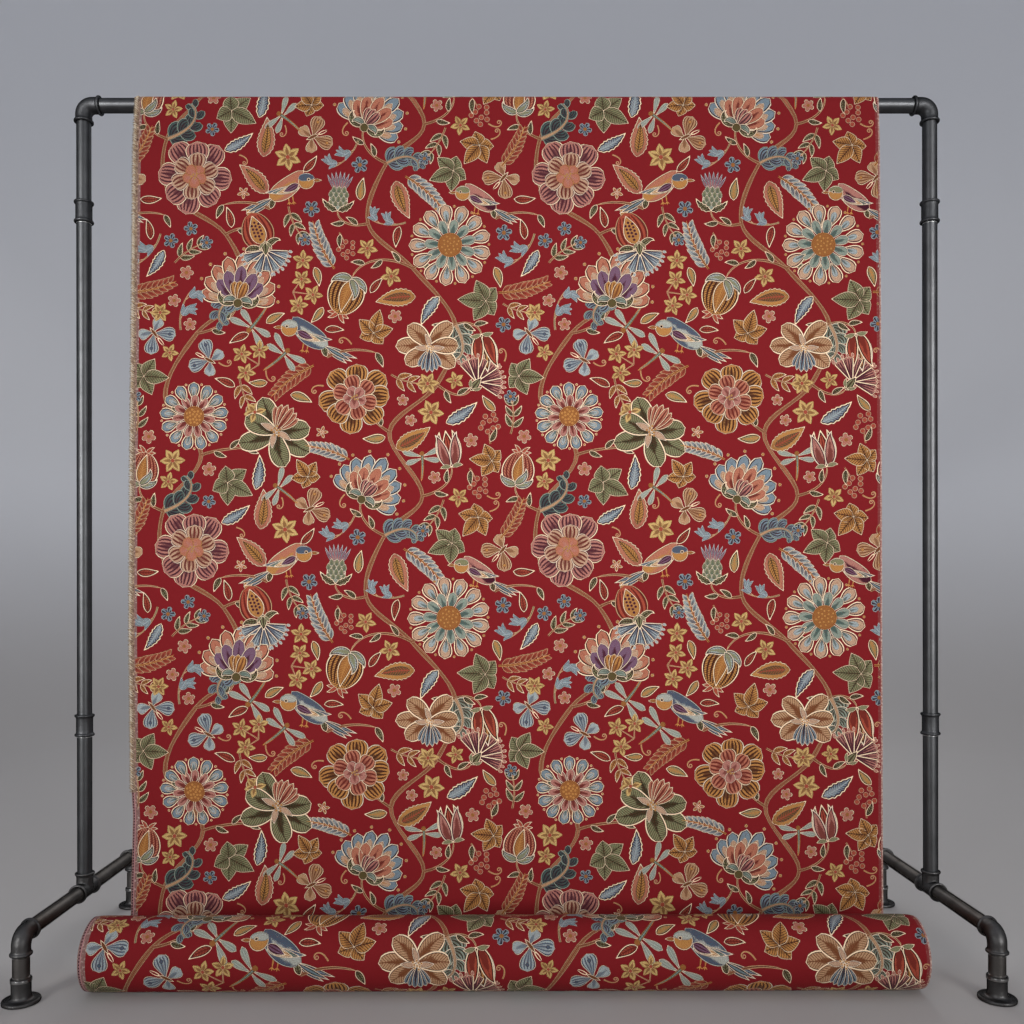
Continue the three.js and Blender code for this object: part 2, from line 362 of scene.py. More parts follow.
def elbow(node, middle, first, second, finish):
    """An elbow from the mouth that points along first, round a quarter bend, to the one along second."""
    first, second = np.array(first, float), np.array(second, float)
    across = np.cross(first, second)
    path = [(first * along, first, radius) for radius, along in reversed(mouth(reach, -1))]
    for a in np.linspace(0, math.pi / 2, 15):
        swell = 1 + 0.02 * math.sin(2 * a)
        centre = bend_radius * ((1 - math.sin(a)) * first + (1 - math.cos(a)) * second)
        path.append((centre, math.cos(a) * first - math.sin(a) * second, body_radius * swell))
    path += [(second * along, -second, radius) for radius, along in mouth(reach, -1)]
    sides = 40
    points = []
    for centre, way, radius in path:
        out = np.cross(across, way)
        for k in range(sides):
            a = 2 * math.pi * k / sides
            points.append(np.array(middle) + centre + radius * (math.cos(a) * out + math.sin(a) * across))
    casting(node, new_mesh(node + "_look", points, rings_surface(len(path), sides), 42), finish)


def base_tee(node, x, z):
    """The two bars of a tee's run and its branch, grown together and smoothed like a casting."""
    points, faces = turned_shape([*mouth(-reach, 1)[::-1], *mouth(reach, -1)], (0, 0, 0), 1)
    branch_points, branch_faces = turned_shape([(body_radius, 0), *mouth(reach, -1)], (0, 0, 0), 2)
    faces += [tuple(len(points) + k for k in face) for face in branch_faces]
    tee = new_mesh(node + "_look", points + branch_points, faces)
    grow = tee.modifiers.new("grow_together", "REMESH")
    grow.mode = "VOXEL"
    grow.voxel_size = tee_grain
    ease = tee.modifiers.new("fillet", "SMOOTH")
    ease.iterations = 4
    ease.factor = 0.5
    solid = bpy.data.meshes.new_from_object(tee.evaluated_get(bpy.context.evaluated_depsgraph_get()))
    tee.modifiers.clear()
    tee.data = solid
    solid.shade_smooth()
    for vertex in solid.vertices:
        vertex.co.x += x
        vertex.co.z += z
    casting(node, tee, foot_iron)


def floor_flange(node, x, y):
    """A round plate under a tall hub, with a collar turned bright near the hub's top."""
    hub_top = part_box(node)[1][2]
    rows = [(radius * mm, height * mm) for radius, height in plate_rows]
    rows += [(radius * mm, hub_top - short * mm) for radius, short in hub_rows]
    made = new_mesh(node + "_look", *turned_shape(rows, (x, y, 0), 2, 56), 38)
    casting(node, made, foot_iron, collar_iron)
    for face in made.data.polygons:
        if hub_top - collar_low * mm < face.center.z < hub_top - collar_high * mm:
            face.material_index = 1


rail_z = centre_of("rail_pipe")[2]
foot_z = centre_of("foot_pipe_left_front")[2]
for side, sign in (("left", -1), ("right", 1)):
    upright_x = centre_of(f"upright_{side}_middle")[0]
    elbow(f"top_elbow_{side}", (upright_x, 0, rail_z), (-sign, 0, 0), (0, 0, -1), cast_iron)
    for place in ("upper", "lower"):
        node = f"coupling_{side}_{place}"
        low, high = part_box(node)
        rows = [*mouth(low[2], 1)[::-1], *mouth(high[2], -1)]
        casting(node, new_mesh(node + "_look", *turned_shape(rows, (upright_x, 0, 0), 2), 38), cast_iron)
    base_tee(f"base_tee_{side}", upright_x, foot_z)
    for end, way in (("front", -1), ("rear", 1)):
        leg_x, leg_y, _ = centre_of(f"leg_nipple_{side}_{end}")
        elbow(f"foot_elbow_{side}_{end}", (leg_x, leg_y, foot_z), (0, -way, 0), (0, 0, -1), foot_iron)
        floor_flange(f"floor_flange_{side}_{end}", leg_x, leg_y)

# ---- The cloth ----
# One length of heavy figured tapestry, 1.4 m wide, woven in crimson with a many-coloured figure.
# Its cut end hangs down behind the rail, the face falls in front, and the rest is still on the roll.

cloth_width = 1398 * mm
cloth_thickness = 1.2 * mm
tail_length = 600 * mm
hang_low, hang_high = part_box("cloth_hanging")
roll_low, roll_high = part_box("cloth_roll")
over_rail = pipe_radius + 1.15 * mm  # from the rail's middle line to the middle of the cloth's thickness
panel_forward = 33 * mm
roll_radius = 60.65 * mm
roll_y = roll_high[1] - 61.4 * mm
roll_z = roll_high[2] - 60.95 * mm
turn_pitch = 1.37 * mm
turns_on_roll = 43
first_turn_steps = 88
inner_turn_steps = 48
roll_sag = 1.55 * mm
last_quarter = 0.24  # of the hanging edge, which is left plain


def arc_rows(centre_y, centre_z, radius, start, sweep, steps):
    a = np.radians(start + sweep * np.arange(1, steps + 1) / steps)
    return np.stack([centre_y + radius * np.cos(a), centre_z + radius * np.sin(a)], axis=1)


def straight_rows(first, last, steps):
    f = np.arange(1, steps + 1)[:, None] / steps
    return (1 - f) * np.array(first) + f * np.array(last)


def wound_rows():
    """The turns of the roll from the outside in, each a little flat where it rests on the floor."""
    rows = []
    for turn in range(turns_on_roll):
        steps = inner_turn_steps if turn else first_turn_steps
        for k in range(1, steps + 1):
            turned = turn + k / steps
            radius = roll_radius - turn_pitch * turned
            a = 2 * math.pi * turned
            lowest = roll_z - max(radius - roll_sag, 0)
            rows.append((roll_y + radius * math.cos(a), max(roll_z + radius * math.sin(a), lowest)))
    return np.array(rows)


# The cloth's line seen from the side, Y and Z, from the cut end to the heart of the roll.
loop_radius = (-panel_forward - (roll_y + roll_radius)) / 2
stretches = {
    "tail": straight_rows((over_rail, rail_z - tail_length), (over_rail, rail_z), 24),
    "rail": arc_rows(0, rail_z, over_rail, 0, 180, 24),
    "panel": straight_rows((-over_rail, rail_z), (-panel_forward, roll_z), 62),
    "loop": arc_rows(-panel_forward - loop_radius, roll_z, loop_radius, 0, -180, 24),
    "roll": wound_rows(),
}
line = np.concatenate([[(over_rail, rail_z - tail_length)], *stretches.values()])
line_v = np.concatenate([[0], np.cumsum(np.linalg.norm(np.diff(line, axis=0), axis=1))])
ends = dict(zip(stretches, line_v[np.cumsum([len(rows) for rows in stretches.values()])]))
ways = np.gradient(line, axis=0)
ways /= np.linalg.norm(ways, axis=1)[:, None]
line_out = np.stack([ways[:, 1], -ways[:, 0]], axis=1)
first_turn_end = line_v[np.searchsorted(line_v, ends["loop"]) + first_turn_steps]
turned_until = ends["panel"] - last_quarter

# Where the selvedges lie: how far along, and how far past the box's left and right sides, in millimetres.
hanging_edges = [
    (0, 5, 0),
    (ends["rail"], 6.5, -1.5),
    (ends["rail"] + 0.08, 3, 0),
    (ends["rail"] + 0.75, -1.5, -1.5),
    (ends["rail"] + 1.0, -1.5, -2.5),
    (turned_until - 0.07, 1.5, -3),
    (turned_until - 0.01, 2, -3.5),
    (turned_until + 0.04, 5.5, -3.5),
    (ends["panel"], 1.5, -2.5),
]
roll_edges = [(ends["loop"], -2, 0.5), (ends["roll"], 1, -1)]
edge_rows = [(v, hang_low[0] + left * mm, hang_high[0] + right * mm) for v, left, right in hanging_edges]
edge_rows += [(v, roll_low[0] + left * mm, roll_high[0] + right * mm) for v, left, right in roll_edges]
edge_v, edge_left, edge_right = np.array(edge_rows).T
# How the roll narrows at its ends: place across it, and share of its full girth.
girth_rows = [
    (-706, 0.985), (-699, 0.997), (-685, 1), (650, 1),
    (668, 0.996), (678, 0.989), (686, 0.976), (690, 0.965),
]
girth_x, girth_share = np.array([(x * mm, share) for x, share in girth_rows]).T
# Slow ripples across the hanging cloth: length, height, and phase on the panel and on the tail.
ripples = [(1.13, 1.7, 0.5, 1.8), (0.52, 0.9, 2.1, 3.4), (0.34, 0.5, 4.0, 5.3)]
# The rail holds the cloth flat as far as the first of these below it, and past the second it hangs free.
held_below, free_below = 0.03, 0.5
held_above_roll = 0.24
tail_swings = 3.5 * mm


def eased(value, start, end):
    f = np.clip((value - start) / (end - start), 0, 1)
    return f * f * (3 - 2 * f)


def on_cloth(u, v, out):
    """Places on the cloth: u across it from the left selvedge, v along it from the cut end, and out
    from the middle of its thickness towards the face, all in metres."""
    y = np.interp(v, line_v, line[:, 0]) + out * np.interp(v, line_v, line_out[:, 0])
    z = np.interp(v, line_v, line[:, 1]) + out * np.interp(v, line_v, line_out[:, 1]) + np.minimum(v, 0)
    left = np.interp(v, edge_v, edge_left)
    right = np.interp(v, edge_v, edge_right)
    x = left + (right - left) * u / cloth_width

    loose = eased(rail_z - z, held_below, free_below)
    behind = v < (ends["tail"] + ends["rail"]) / 2
    in_front = (~behind) & (v <= ends["panel"])
    on_panel = sum(h * mm * np.sin(2 * math.pi * x / long + panel) for long, h, panel, tail in ripples)
    on_tail = sum(h * mm * np.sin(2 * math.pi * x / long + tail) for long, h, panel, tail in ripples)
    y = y + np.where(in_front, loose * eased(z, roll_z, roll_z + held_above_roll) * on_panel, 0)
    y = y + np.where(behind, loose * (tail_swings + 1.6 * on_tail), 0)

    girth = np.interp(x, girth_x, girth_share)
    girth = 1 + (girth - 1) * eased(v, ends["panel"] + 0.03, ends["loop"])
    y = roll_y + (y - roll_y) * girth
    z = roll_z + (z - roll_z) * girth
    wander = np.where(v > first_turn_end, 0.8 * np.sin(17 * v) + 0.7 * np.sin(41 * v + 1), 0) * mm
    return np.stack([x + wander, y, z], axis=1)


def tell(made, title, values, kind="FLOAT_VECTOR", field="vector"):
    """Writes a value on each point of a mesh, for its finish to read."""
    written = made.data.attributes.new(title, kind, "POINT").data
    written.foreach_set(field, np.ascontiguousarray(values).ravel())


def spread_flat(made, place):
    """Lays a piece out flat for the bake. place holds each point's share of the way across and up."""
    corners = np.empty(len(made.data.loops), int)
    made.data.loops.foreach_get("vertex_index", corners)
    made.data.uv_layers.new(name="OFBake").data.foreach_set("uv", place[corners].ravel())


def cloth_piece(name, u_lines, v_lines):
    """A closed sheet over a grid of lines, with its face, reverse and four edges. The face comes first."""
    across, along = len(u_lines), len(v_lines)
    u, v = (grid.ravel() for grid in np.meshgrid(u_lines, v_lines))
    points = [on_cloth(u, v, out) for out in (cloth_thickness / 2, -cloth_thickness / 2)]
    cell = np.arange(across * along).reshape(along, across)
    quads = np.stack([cell[:-1, :-1], cell[1:, :-1], cell[1:, 1:], cell[:-1, 1:]], axis=-1).reshape(-1, 4)
    reverse = quads[:, ::-1] + across * along
    rim = np.concatenate([cell[0, :], cell[1:, -1], cell[-1, -2::-1], cell[-2:0:-1, 0]])
    after = np.roll(rim, -1)
    edge = np.stack([rim, after, after + across * along, rim + across * along], axis=1)
    made = new_mesh(name, np.concatenate(points), np.concatenate([quads, reverse, edge]), 60)
    tell(made, "flat", np.stack([np.tile(u, 2), np.tile(v, 2), np.zeros(2 * len(u))], axis=1))
    # The face and the reverse are laid side by side for the bake.
    bake_u = np.tile(u, 2) / cloth_width * 0.49 + np.repeat([0.0, 0.51], len(u))
    bake_v = (np.tile(v, 2) - v_lines[0]) / (v_lines[-1] - v_lines[0])
    spread_flat(made, np.stack([bake_u, bake_v], axis=1))
    which = np.zeros(len(made.data.polygons), int)
    which[len(quads) : 2 * len(quads)] = 1
    made.data.polygons.foreach_set("material_index", which)
    return made


class Woven(Finish):
    """A woven finish, with the ribs of its weave and the unevenness of its yarn."""

    def __init__(self, name, rough, sheen, tint):
        super().__init__(name, Sheen_Weight=sheen, Sheen_Roughness=0.45, Specular_IOR_Level=0.1)
        self.shader.inputs["Sheen Tint"].default_value = (*tint, 1)
        self.flat = self.told("flat", "Vector")
        self.yarn = self.noise(self.drawn_out(620, 1500), 1.0, 3, Roughness=0.6)
        wave = {"Vector": self.drawn_out(380, 620, 0), "Scale": 1.0, "Distortion": 1.2, "Detail": 2}
        ribs = self.node("TexWave", "Fac", {"bands_direction": "DIAGONAL"}, **wave)
        relief = self.bump(ribs.scaled(0.5, self.yarn, clamp=False), 0.55, 0.00035)
        slack = self.noise(self.flat, 9)
        self.lead("Normal", self.bump(slack, 0.35, 0.004, Normal=relief))
        self.lead("Roughness", self.ranged(self.yarn, rough - 0.12, rough + 0.1))

    def told(self, title, output="Fac"):
        """What the mesh tells on each of its points."""
        return self.node("Attribute", output, {"attribute_name": title})

    def drawn_out(self, across, along, out=1):
        times = (across, along, out)
        return self.node("VectorMath", "Vector", {"operation": "MULTIPLY"}, _0=self.flat, _1=times)

    def streaks(self, across, along, output="Fac"):
        """Noise drawn out along the weft, as on yarns that float a little way and dive again."""
        return self.noise(self.drawn_out(across, along), 1.0, output=output)

    def part(self, vector, axis):
        return self.node("SeparateXYZ", axis, _0=vector)


crimson = (0.200, 0.0092, 0.0118)
crimson_shade = (0.130, 0.0060, 0.0082)
mauve_shade = (0.15, 0.070, 0.062)
mauve_light = (0.30, 0.175, 0.155)
selvedge_pink = (0.36, 0.17, 0.17)
olive_shade = (0.14, 0.085, 0.06)
olive_light = (0.27, 0.185, 0.13)
selvedge_dark = (0.035, 0.005, 0.009)
left_width = 12.8 * mm

face = Woven("crimson_weave", 0.82, 0.01, (1.0, 0.5, 0.5))
u, v = face.part(face.flat, "X"), face.part(face.flat, "Y")
ground = face.blend(face.yarn.scaled(1.7, -0.35), crimson_shade, crimson)
melange = face.noise(face.flat, 260, 4, Roughness=0.7)
ground = face.blend(melange * 0.28, ground, (0.215, 0.017, 0.021))
flecks = face.noise(face.flat, 250, 1)
light_fleck = flecks.scaled(5.5, -3.0)
dark_fleck = flecks.scaled(-5.5, 2.5)
mauve = face.blend(face.yarn.scaled(2.4, -0.8), mauve_shade, mauve_light)
mauve = face.blend(light_fleck, mauve, (0.41, 0.31, 0.27))
mauve = face.blend(dark_fleck, mauve, (0.16, 0.085, 0.080))
pale = face.blend(flecks.scaled(4.0, -1.7), (0.27, 0.13, 0.11), (0.52, 0.38, 0.32))
olive = face.blend(face.yarn, olive_shade, olive_light)
olive = face.blend(light_fleck, olive, (0.47, 0.34, 0.24))
olive = face.blend(dark_fleck, olive, (0.075, 0.034, 0.026))
dots = (v * (1 / 0.0052)).math("FRACT") > 0.45
dotted = face.blend(dots, selvedge_dark, (0.19, 0.11, 0.11))
# Where the edge lies plain, and where it is turned: each band ends this far from the left.
plain = face.blend(u < 0.0055, mauve, selvedge_pink)
plain = face.blend(u < 0.0036, plain, dotted)
plain = face.blend(u < 0.0011, plain, mauve)
turned = face.blend(u < 0.008, mauve, olive)
# Under the stitches the cloth is painted dark: painted shade in the gaps between them.
turned = face.blend(u < 0.0032, turned, (0.13, 0.08, 0.058))
bands = face.blend(u < left_width, ground, face.blend(v > turned_until, turned, plain))
from_right = face.node("Math", "Value", {"operation": "SUBTRACT"}, _0=cloth_width, _1=u)
bands = face.blend((from_right < 0.008) * 0.22, bands, mauve)
bands = face.blend(from_right < 0.0028, bands, pale)
face.lead("Base Color", bands)

# The reverse: the idle colours run across it in fine streaks, with the crimson between them.
reverse = Woven("reverse_floats", 0.9, 0.06, (0.9, 0.75, 0.7))
hues = reverse.streaks(16, 330, "Color")
red, green, blue = (reverse.node("SeparateColor", part, Color=hues) for part in ("Red", "Green", "Blue"))
idle = reverse.blend(red > 0.5, (0.34, 0.235, 0.135), (0.115, 0.145, 0.155))
idle = reverse.blend(green > 0.54, idle, (0.30, 0.115, 0.085))
idle = reverse.blend(blue > 0.56, idle, (0.12, 0.115, 0.05))
showing = reverse.streaks(24, 640).scaled(6.0, -2.55)
reverse.lead("Base Color", reverse.blend(showing * 0.8, (0.115, 0.011, 0.016), idle))

roll_lines = [0, 7, 24, 60, 700, 1330, 1354, 1368, 1380, 1389, 1398]
hanging_rows = line_v[line_v <= ends["loop"] + 1e-9]
rolled_rows = line_v[line_v >= ends["loop"] - 1e-9]
hanging = cloth_piece("tapestry_hanging", np.linspace(0, cloth_width, 41), hanging_rows)
rolled = cloth_piece("tapestry_roll", np.array(roll_lines) * mm, rolled_rows)
in_place_of("cloth_hanging", hanging, "tapestry_cloth", face.material, reverse.material)
in_place_of("cloth_roll", rolled, "tapestry_cloth", face.material, reverse.material)

# ---- The turned selvedge ----
# Down the left side, but for the last quarter metre, the edge is turned and overcast with cream and
# gold yarn. Each stitch is a short fat tuft lying aslant, and cut ends of weft stand out past the edge.

stitch_step = 4.2 * mm
stitch_length = 5.2 * mm
stitch_radius = 1.3 * mm
weft_end_step = 2.1 * mm
stitch_shades = [(0.88, 0.77, 0.60), (0.60, 0.45, 0.29), (0.80, 0.67, 0.50), (0.36, 0.24, 0.17)]
weft_end_shade = np.array((0.27, 0.22, 0.15))

luck = np.random.default_rng(7)
yarn_finish = Finish("stitch_yarn", Roughness=0.85, Sheen_Weight=0.1, Specular_IOR_Level=0.15)
dye = yarn_finish.node("Attribute", "Color", {"attribute_name": "dye"})
ply = yarn_finish.noise(yarn_finish.node("TexCoord", "Object"), 1600)
yarn_finish.lead("Base Color", yarn_finish.blend(ply.scaled(1.8, -0.35), (0.24, 0.16, 0.10), dye))
yarn_finish.lead("Normal", yarn_finish.bump(ply, 0.6, 0.0003))


class YarnEnds:
    """Bits of loose yarn on the cloth, kept until they are made up as one piece."""

    def __init__(self):
        self.points, self.faces, self.shades, self.count = [], [], [], 0

    def add(self, path, radii, shade, sides):
        """A bit of yarn through these places on the cloth (across, along and out, in metres)."""
        path, radii = np.array(path), np.array(radii)[:, None]
        way = np.gradient(path[:, :2], axis=0)
        way /= np.linalg.norm(way, axis=1)[:, None]
        a = 2 * math.pi * np.arange(sides) / sides
        ring = np.cos(a)[None, :] * radii
        u = path[:, 0, None] + ring * way[:, 1, None]
        v = path[:, 1, None] - ring * way[:, 0, None]
        out = path[:, 2, None] + np.sin(a)[None, :] * radii
        self.points.append(on_cloth(u.ravel(), v.ravel(), out.ravel()))
        self.faces += [tuple(self.count + k for k in face) for face in rings_surface(len(path), sides)]
        self.shades += [(*shade, 1)] * u.size
        self.count += u.size

    def made_up(self, name):
        made = new_mesh(name, np.concatenate(self.points), self.faces)
        tell(made, "dye", self.shades, "FLOAT_COLOR", "color")
        made.data.materials.append(yarn_finish.material)
        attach(made, "root")
        return made


stitches = YarnEnds()
f = np.linspace(0, 1, 5)
for k in range(int(turned_until / stitch_step) - 1):
    v = 3 * mm + k * stitch_step + luck.uniform(-0.5, 0.5) * mm
    along = v + (f - 0.5) * stitch_length * luck.uniform(0.8, 1.2)
    path = np.column_stack([(5.7 * f - 1.7) * mm, along, (0.4 + 0.9 * np.sin(math.pi * f)) * mm])
    shade = stitch_shades[luck.choice(4, p=(0.42, 0.26, 0.22, 0.1))]
    stitches.add(path, stitch_radius * np.array([0.35, 0.9, 1, 0.9, 0.35]), shade, 6)
for k in range(int(turned_until / weft_end_step) - 1):
    v = 3 * mm + k * weft_end_step + luck.uniform(-0.7, 0.7) * mm
    tip_u = -2.6 * mm - luck.uniform(0.6, 2.2) * mm
    tip_v = v + luck.uniform(-0.9, 0.9) * mm
    path = [(1 * mm, v, 0.3 * mm), (-2 * mm, v + 0.4 * mm, 0.4 * mm), (tip_u, tip_v, 0.1 * mm)]
    stitches.add(path, (0.75 * mm, 0.7 * mm, 0.4 * mm), weft_end_shade * luck.uniform(0.7, 1.35), 5)
selvedge = stitches.made_up("selvedge_stitches")

# ---- The figure ----
# The woven flowers, leaves and small creatures, floated in coloured weft over the crimson ground.
# One repeat is 0.7 m square. It is drawn flat with curved, tapering strokes, then laid along the cloth.

repeat = 699.0  # millimetres, both ways
first_float = 0.10 * mm  # how far the lowest floats stand off the ground
float_step = 0.035 * mm
lap_step, laps = 0.032, 29  # what keeps two strokes that lap from lying at one height
golden_turn = 137.5  # degrees between seeds that are packed in a spiral

yarns = {
    "cream": "fae1bd", "ivory": "e9d7bd", "sand": "c39c76", "gold": "c48c4c", "honey": "a26a36",
    "ochre": "764726", "salmon": "c07a60", "coral": "b0523c", "rose": "bb8073", "blush": "cca88a",
    "brick": "66201a", "plum": "3c1829", "lilac": "7a6077", "powder": "a9b7b7", "sky": "7b949f",
    "steel": "475f70", "navy": "18202b", "teal": "395e59", "aqua": "8fa192", "sage": "868b66",
    "olive": "565430", "moss": "252b16", "ink": "161012", "silver": "b6bcb1", "tan": "a97050",
    "umber": "2b1710", "straw": "dfbc78",
}
yarn_names = list(yarns)


def dyed(code):
    """The linear colour of a six-digit one."""
    parts = [int(code[k : k + 2], 16) / 255 for k in (0, 2, 4)]
    return [((c + 0.055) / 1.055) ** 2.4 if c > 0.04045 else c / 12.92 for c in parts]


def rounded(s, widest, root, power=1):
    """Widens from root to full width, then closes in a round tip."""
    widening = root + (1 - root) * np.sin(math.pi / 2 * s / widest) ** power
    return np.where(s < widest, widening, np.sqrt(np.clip(1 - ((s - widest) / (1 - widest)) ** 2, 0, 1)))


# How wide a stroke is along its length, from 0 to 1.
outlines = {
    "leaf": lambda s: np.sin(math.pi * s**0.72) ** 0.9,
    "lance": lambda s: np.sin(math.pi * s**0.95),
    "petal": lambda s: rounded(s, 0.62, 0.34),
    "spoon": lambda s: rounded(s, 0.7, 0.16, 1.6),
    "wedge": lambda s: (0.2 + 0.8 * s) * np.clip((1 - s) / 0.05, 0, 1),
    "stem": lambda s: (1 - 0.55 * s) * np.clip((1 - s) / 0.02, 0.25, 1),
    "egg": lambda s: np.sqrt(np.clip(1 - (2 * s - 1) ** 2, 0, 1)) * (1.12 - 0.3 * s),
}


class Figure:
    """What has been drawn: a row for each point, triangles between them, and the room each stroke takes.
    In a row, s is the share of the way along the stroke, e how far off its middle, half its half width
    there, run the length so far, and phase the count of its stripes."""

    columns = "x y s e half run phase rim line shade stripe vein level"
    columns = [*columns.split(), "ink_rim", "ink_line", "ink_body", "ink_detail"]

    def __init__(self):
        self.rows, self.triangles, self.count, self.marks = [], [], 0, []

    def add(self, rows, triangles, marks, inks, level, trim, style):
        level += lap_step * (len(self.rows) % laps)
        same = [*trim, *style, level, *(yarn_names.index(name) for name in inks.split())]
        self.rows.append(np.concatenate([rows, np.tile(same, (len(rows), 1))], axis=1))
        self.triangles.append(triangles + self.count)
        self.count += len(rows)
        self.marks.append(marks)

    def band(self, path, across, s, half, run, inks, level, trim, shade=0, stripes=0, vein=0):
        """A band along a path, with a line of points down its middle and one on either side."""
        sides = []
        for k in (-1, 0, 1):
            edge, phase = path + k * half[:, None] * across, k * stripes + 0.25 + 0 * s
            sides.append(np.column_stack([edge, s, k * half, half, run, phase]))
        cell = np.array([[0, 1, 4], [0, 4, 3], [1, 2, 5], [1, 5, 4]])
        triangles = (np.arange(len(s) - 1)[:, None, None] * 3 + cell).reshape(-1, 3)
        marks = np.column_stack([path, half])
        rows = np.stack(sides, axis=1).reshape(-1, 7)
        self.add(rows, triangles, marks, inks, level, trim, (shade, stripes > 0, vein))


drawn = Figure()


class Shuttle:
    """A place and a heading on the flat cloth, from which strokes are drawn. Heading 90 is up the cloth.
    The four inks of a stroke are for its rim, the line inside that, its body, and what lies on its body:
    stripes, veins and shade."""

    def __init__(self, x, y, heading, size, hand, level=0):
        self.x, self.y, self.heading, self.size, self.hand, self.level = x, y, heading, size, hand, level

    def at(self, right=0.0, forward=0.0, turn=0.0, size=1.0, up=0, hand=1):
        a = math.radians(self.heading)
        dx, dy = right * self.size * self.hand, forward * self.size
        x = self.x + dx * math.sin(a) + dy * math.cos(a)
        y = self.y - dx * math.cos(a) + dy * math.sin(a)
        heading = self.heading + self.hand * turn
        return Shuttle(x, y, heading, self.size * size, self.hand * hand, self.level + up)

    def both(self):
        """The same place for either hand, the mirrored one first."""
        return self.at(hand=-1), self.at()

    def partway(self, f, length, bend, curl=0, steps=1):
        """The place a share f along a stroke of this length, bend and curl."""
        x, y = self.x, self.y
        for k in range(steps):
            s = f * (k + 0.5) / steps
            way = math.radians(self.heading + self.hand * (bend * s + curl * s**3))
            x += math.cos(way) * length * self.size * f / steps
            y += math.sin(way) * length * self.size * f / steps
        heading = self.heading + self.hand * (bend * f + curl * f**3)
        return Shuttle(x, y, heading, self.size, self.hand, self.level)

    def stroke(
        self, length, width, outline, inks, bend=0.0, curl=0.0, up=0,
        steps=9, trim=None, shade=0, stripes=0, vein=0, teeth=0, bite=0,
    ):
        """A tapering band that turns by bend along its length, and by curl towards its end.
        trim holds the widths of its rim and line, and shade is how far it is hatched from its root.
        teeth is how many notches it has down its sides, and bite how deep they are. Returns where it ends."""
        s = np.linspace(0, 1, (3 * teeth if teeth else steps) + 1)
        wide = width * self.size
        trim = trim or (min(2.1, 0.72 + 0.05 * wide), min(2.2, 0.75 + 0.05 * wide))
        length, half = length * self.size, wide / 2 * outlines[outline](s)
        if teeth:
            half = half * (1 - bite * ((s * teeth + 0.01) % 1))
        a = np.radians(self.heading + self.hand * (bend * s + curl * s**3))
        middle = (a[1:] + a[:-1]) / 2
        step = length / (len(s) - 1)
        x = self.x + np.concatenate([[0], np.cumsum(np.cos(middle))]) * step
        y = self.y + np.concatenate([[0], np.cumsum(np.sin(middle))]) * step
        path, across = np.column_stack([x, y]), np.column_stack([np.sin(a), -np.cos(a)])
        drawn.band(path, across, s, half, s * length, inks, self.level + up, trim, shade, stripes, vein)
        return Shuttle(x[-1], y[-1], math.degrees(a[-1]), self.size, self.hand, self.level)

    def petals(
        self, turns, out, length, width, outline, inks, bend=0, curl=0,
        lean=0, fall=0, lap=1, up=0, **how,
    ):
        """Strokes that spread from one place, each turned by one of turns and started out from the middle.
        Those to the left bend the other way. For each degree of turn a stroke bends by lean more and is
        shorter by fall. They lie at lap heights by turns."""
        for k, turn in enumerate(turns):
            way = math.copysign(1, turn)
            bent, long = bend * way + lean * turn, length - fall * abs(turn)
            start = self.at(turn=turn).at(0, out)
            start.stroke(long, width, outline, inks, bent, curl * way, up + k % lap, **how)

    def cored(self, length, width, inks, core, bend=0, up=0, steps=9, shade=0):
        """A petal with a smaller one of another colour lying on it."""
        self.stroke(length, width, "spoon", inks, bend, up=up, steps=steps, shade=shade)
        how = {"up": up + 1, "steps": steps, "shade": 0.8, "trim": (0.9, 0.8)}
        self.at(0, length * 0.14).stroke(length * 0.62, width * 0.5, "spoon", core, bend, **how)

    def round(self, radius, inks, up=0, lobes=0, dent=0.0, steps=18, trim=(1.6, 0.8), stripes=0):
        """A disc, or a flower cut into lobes."""
        radius *= self.size
        k = np.arange(steps)
        a = 2 * math.pi * np.stack([k, k + 1, k + 0.5], axis=1) / steps
        reach = radius * (1 - dent + dent * np.abs(np.cos(lobes * a / 2)) ** 0.7) if lobes else radius + 0 * a
        out = reach * np.array([1, 1, 0])
        way = a + math.radians(self.heading)
        x, y = self.x + out * np.cos(way), self.y + out * np.sin(way)
        phase = a / (2 * math.pi) * stripes
        rows = np.stack([x, y, out / radius, out, reach, out, phase], axis=-1).reshape(-1, 7)
        marks = np.array([[self.x, self.y, radius]])
        triangles = np.arange(3 * steps).reshape(-1, 3)
        drawn.add(rows, triangles, marks, inks, self.level + up, trim, (0, stripes > 0, 0))

    def seeds(self, radius, count, inks, up):
        """Seeds packed in a spiral, as in a flower's eye."""
        for k in range(count):
            seed = self.at(0, 0, k * golden_turn).at(0, radius * math.sqrt((k + 0.5) / count))
            seed.round(2.2, inks, up, steps=6, trim=(0.45, 0))


fine = (0.7, 0.0)
bark = "sand umber tan ochre"
stalk = "sand moss ochre sand"
green = "cream ink sage moss"
golden = "cream umber gold ochre"
amber = "cream umber gold umber"
coral = "cream umber coral brick"
salmon = "cream umber salmon brick"
rose = "cream plum rose plum"
rosy = "ivory plum rose brick"


def leaf(place, length=60, width=22, inks=green, bend=20, teeth=0):
    place.stroke(length, width, "leaf", inks, bend, steps=11, shade=0.5, vein=1, teeth=teeth, bite=0.26)


def frond(place, length, inks="aqua navy sky navy"):
    """A big curled leaf: lobes that fold back along a bowed rib."""
    bend, curl, lobes = 30, 120, 5
    how = {"steps": 8, "shade": 0.45, "stripes": 2.2, "trim": (1.5, 0.8)}
    for k in range(lobes):
        f = (k + 0.35) / lobes
        spot = place.partway(f, length, bend, curl, 16).at(size=1.05 - 0.62 * f)
        spot.petals((-62, 62), 0, 32.5, 28.6, "petal", inks, -46, -60, up=k % 2, **how)
    rim, line = inks.split()[:2]
    place.stroke(length, 9, "stem", f"{rim} {line} sand gold", bend, curl, 2, steps=14, trim=(0.9, 0.6))


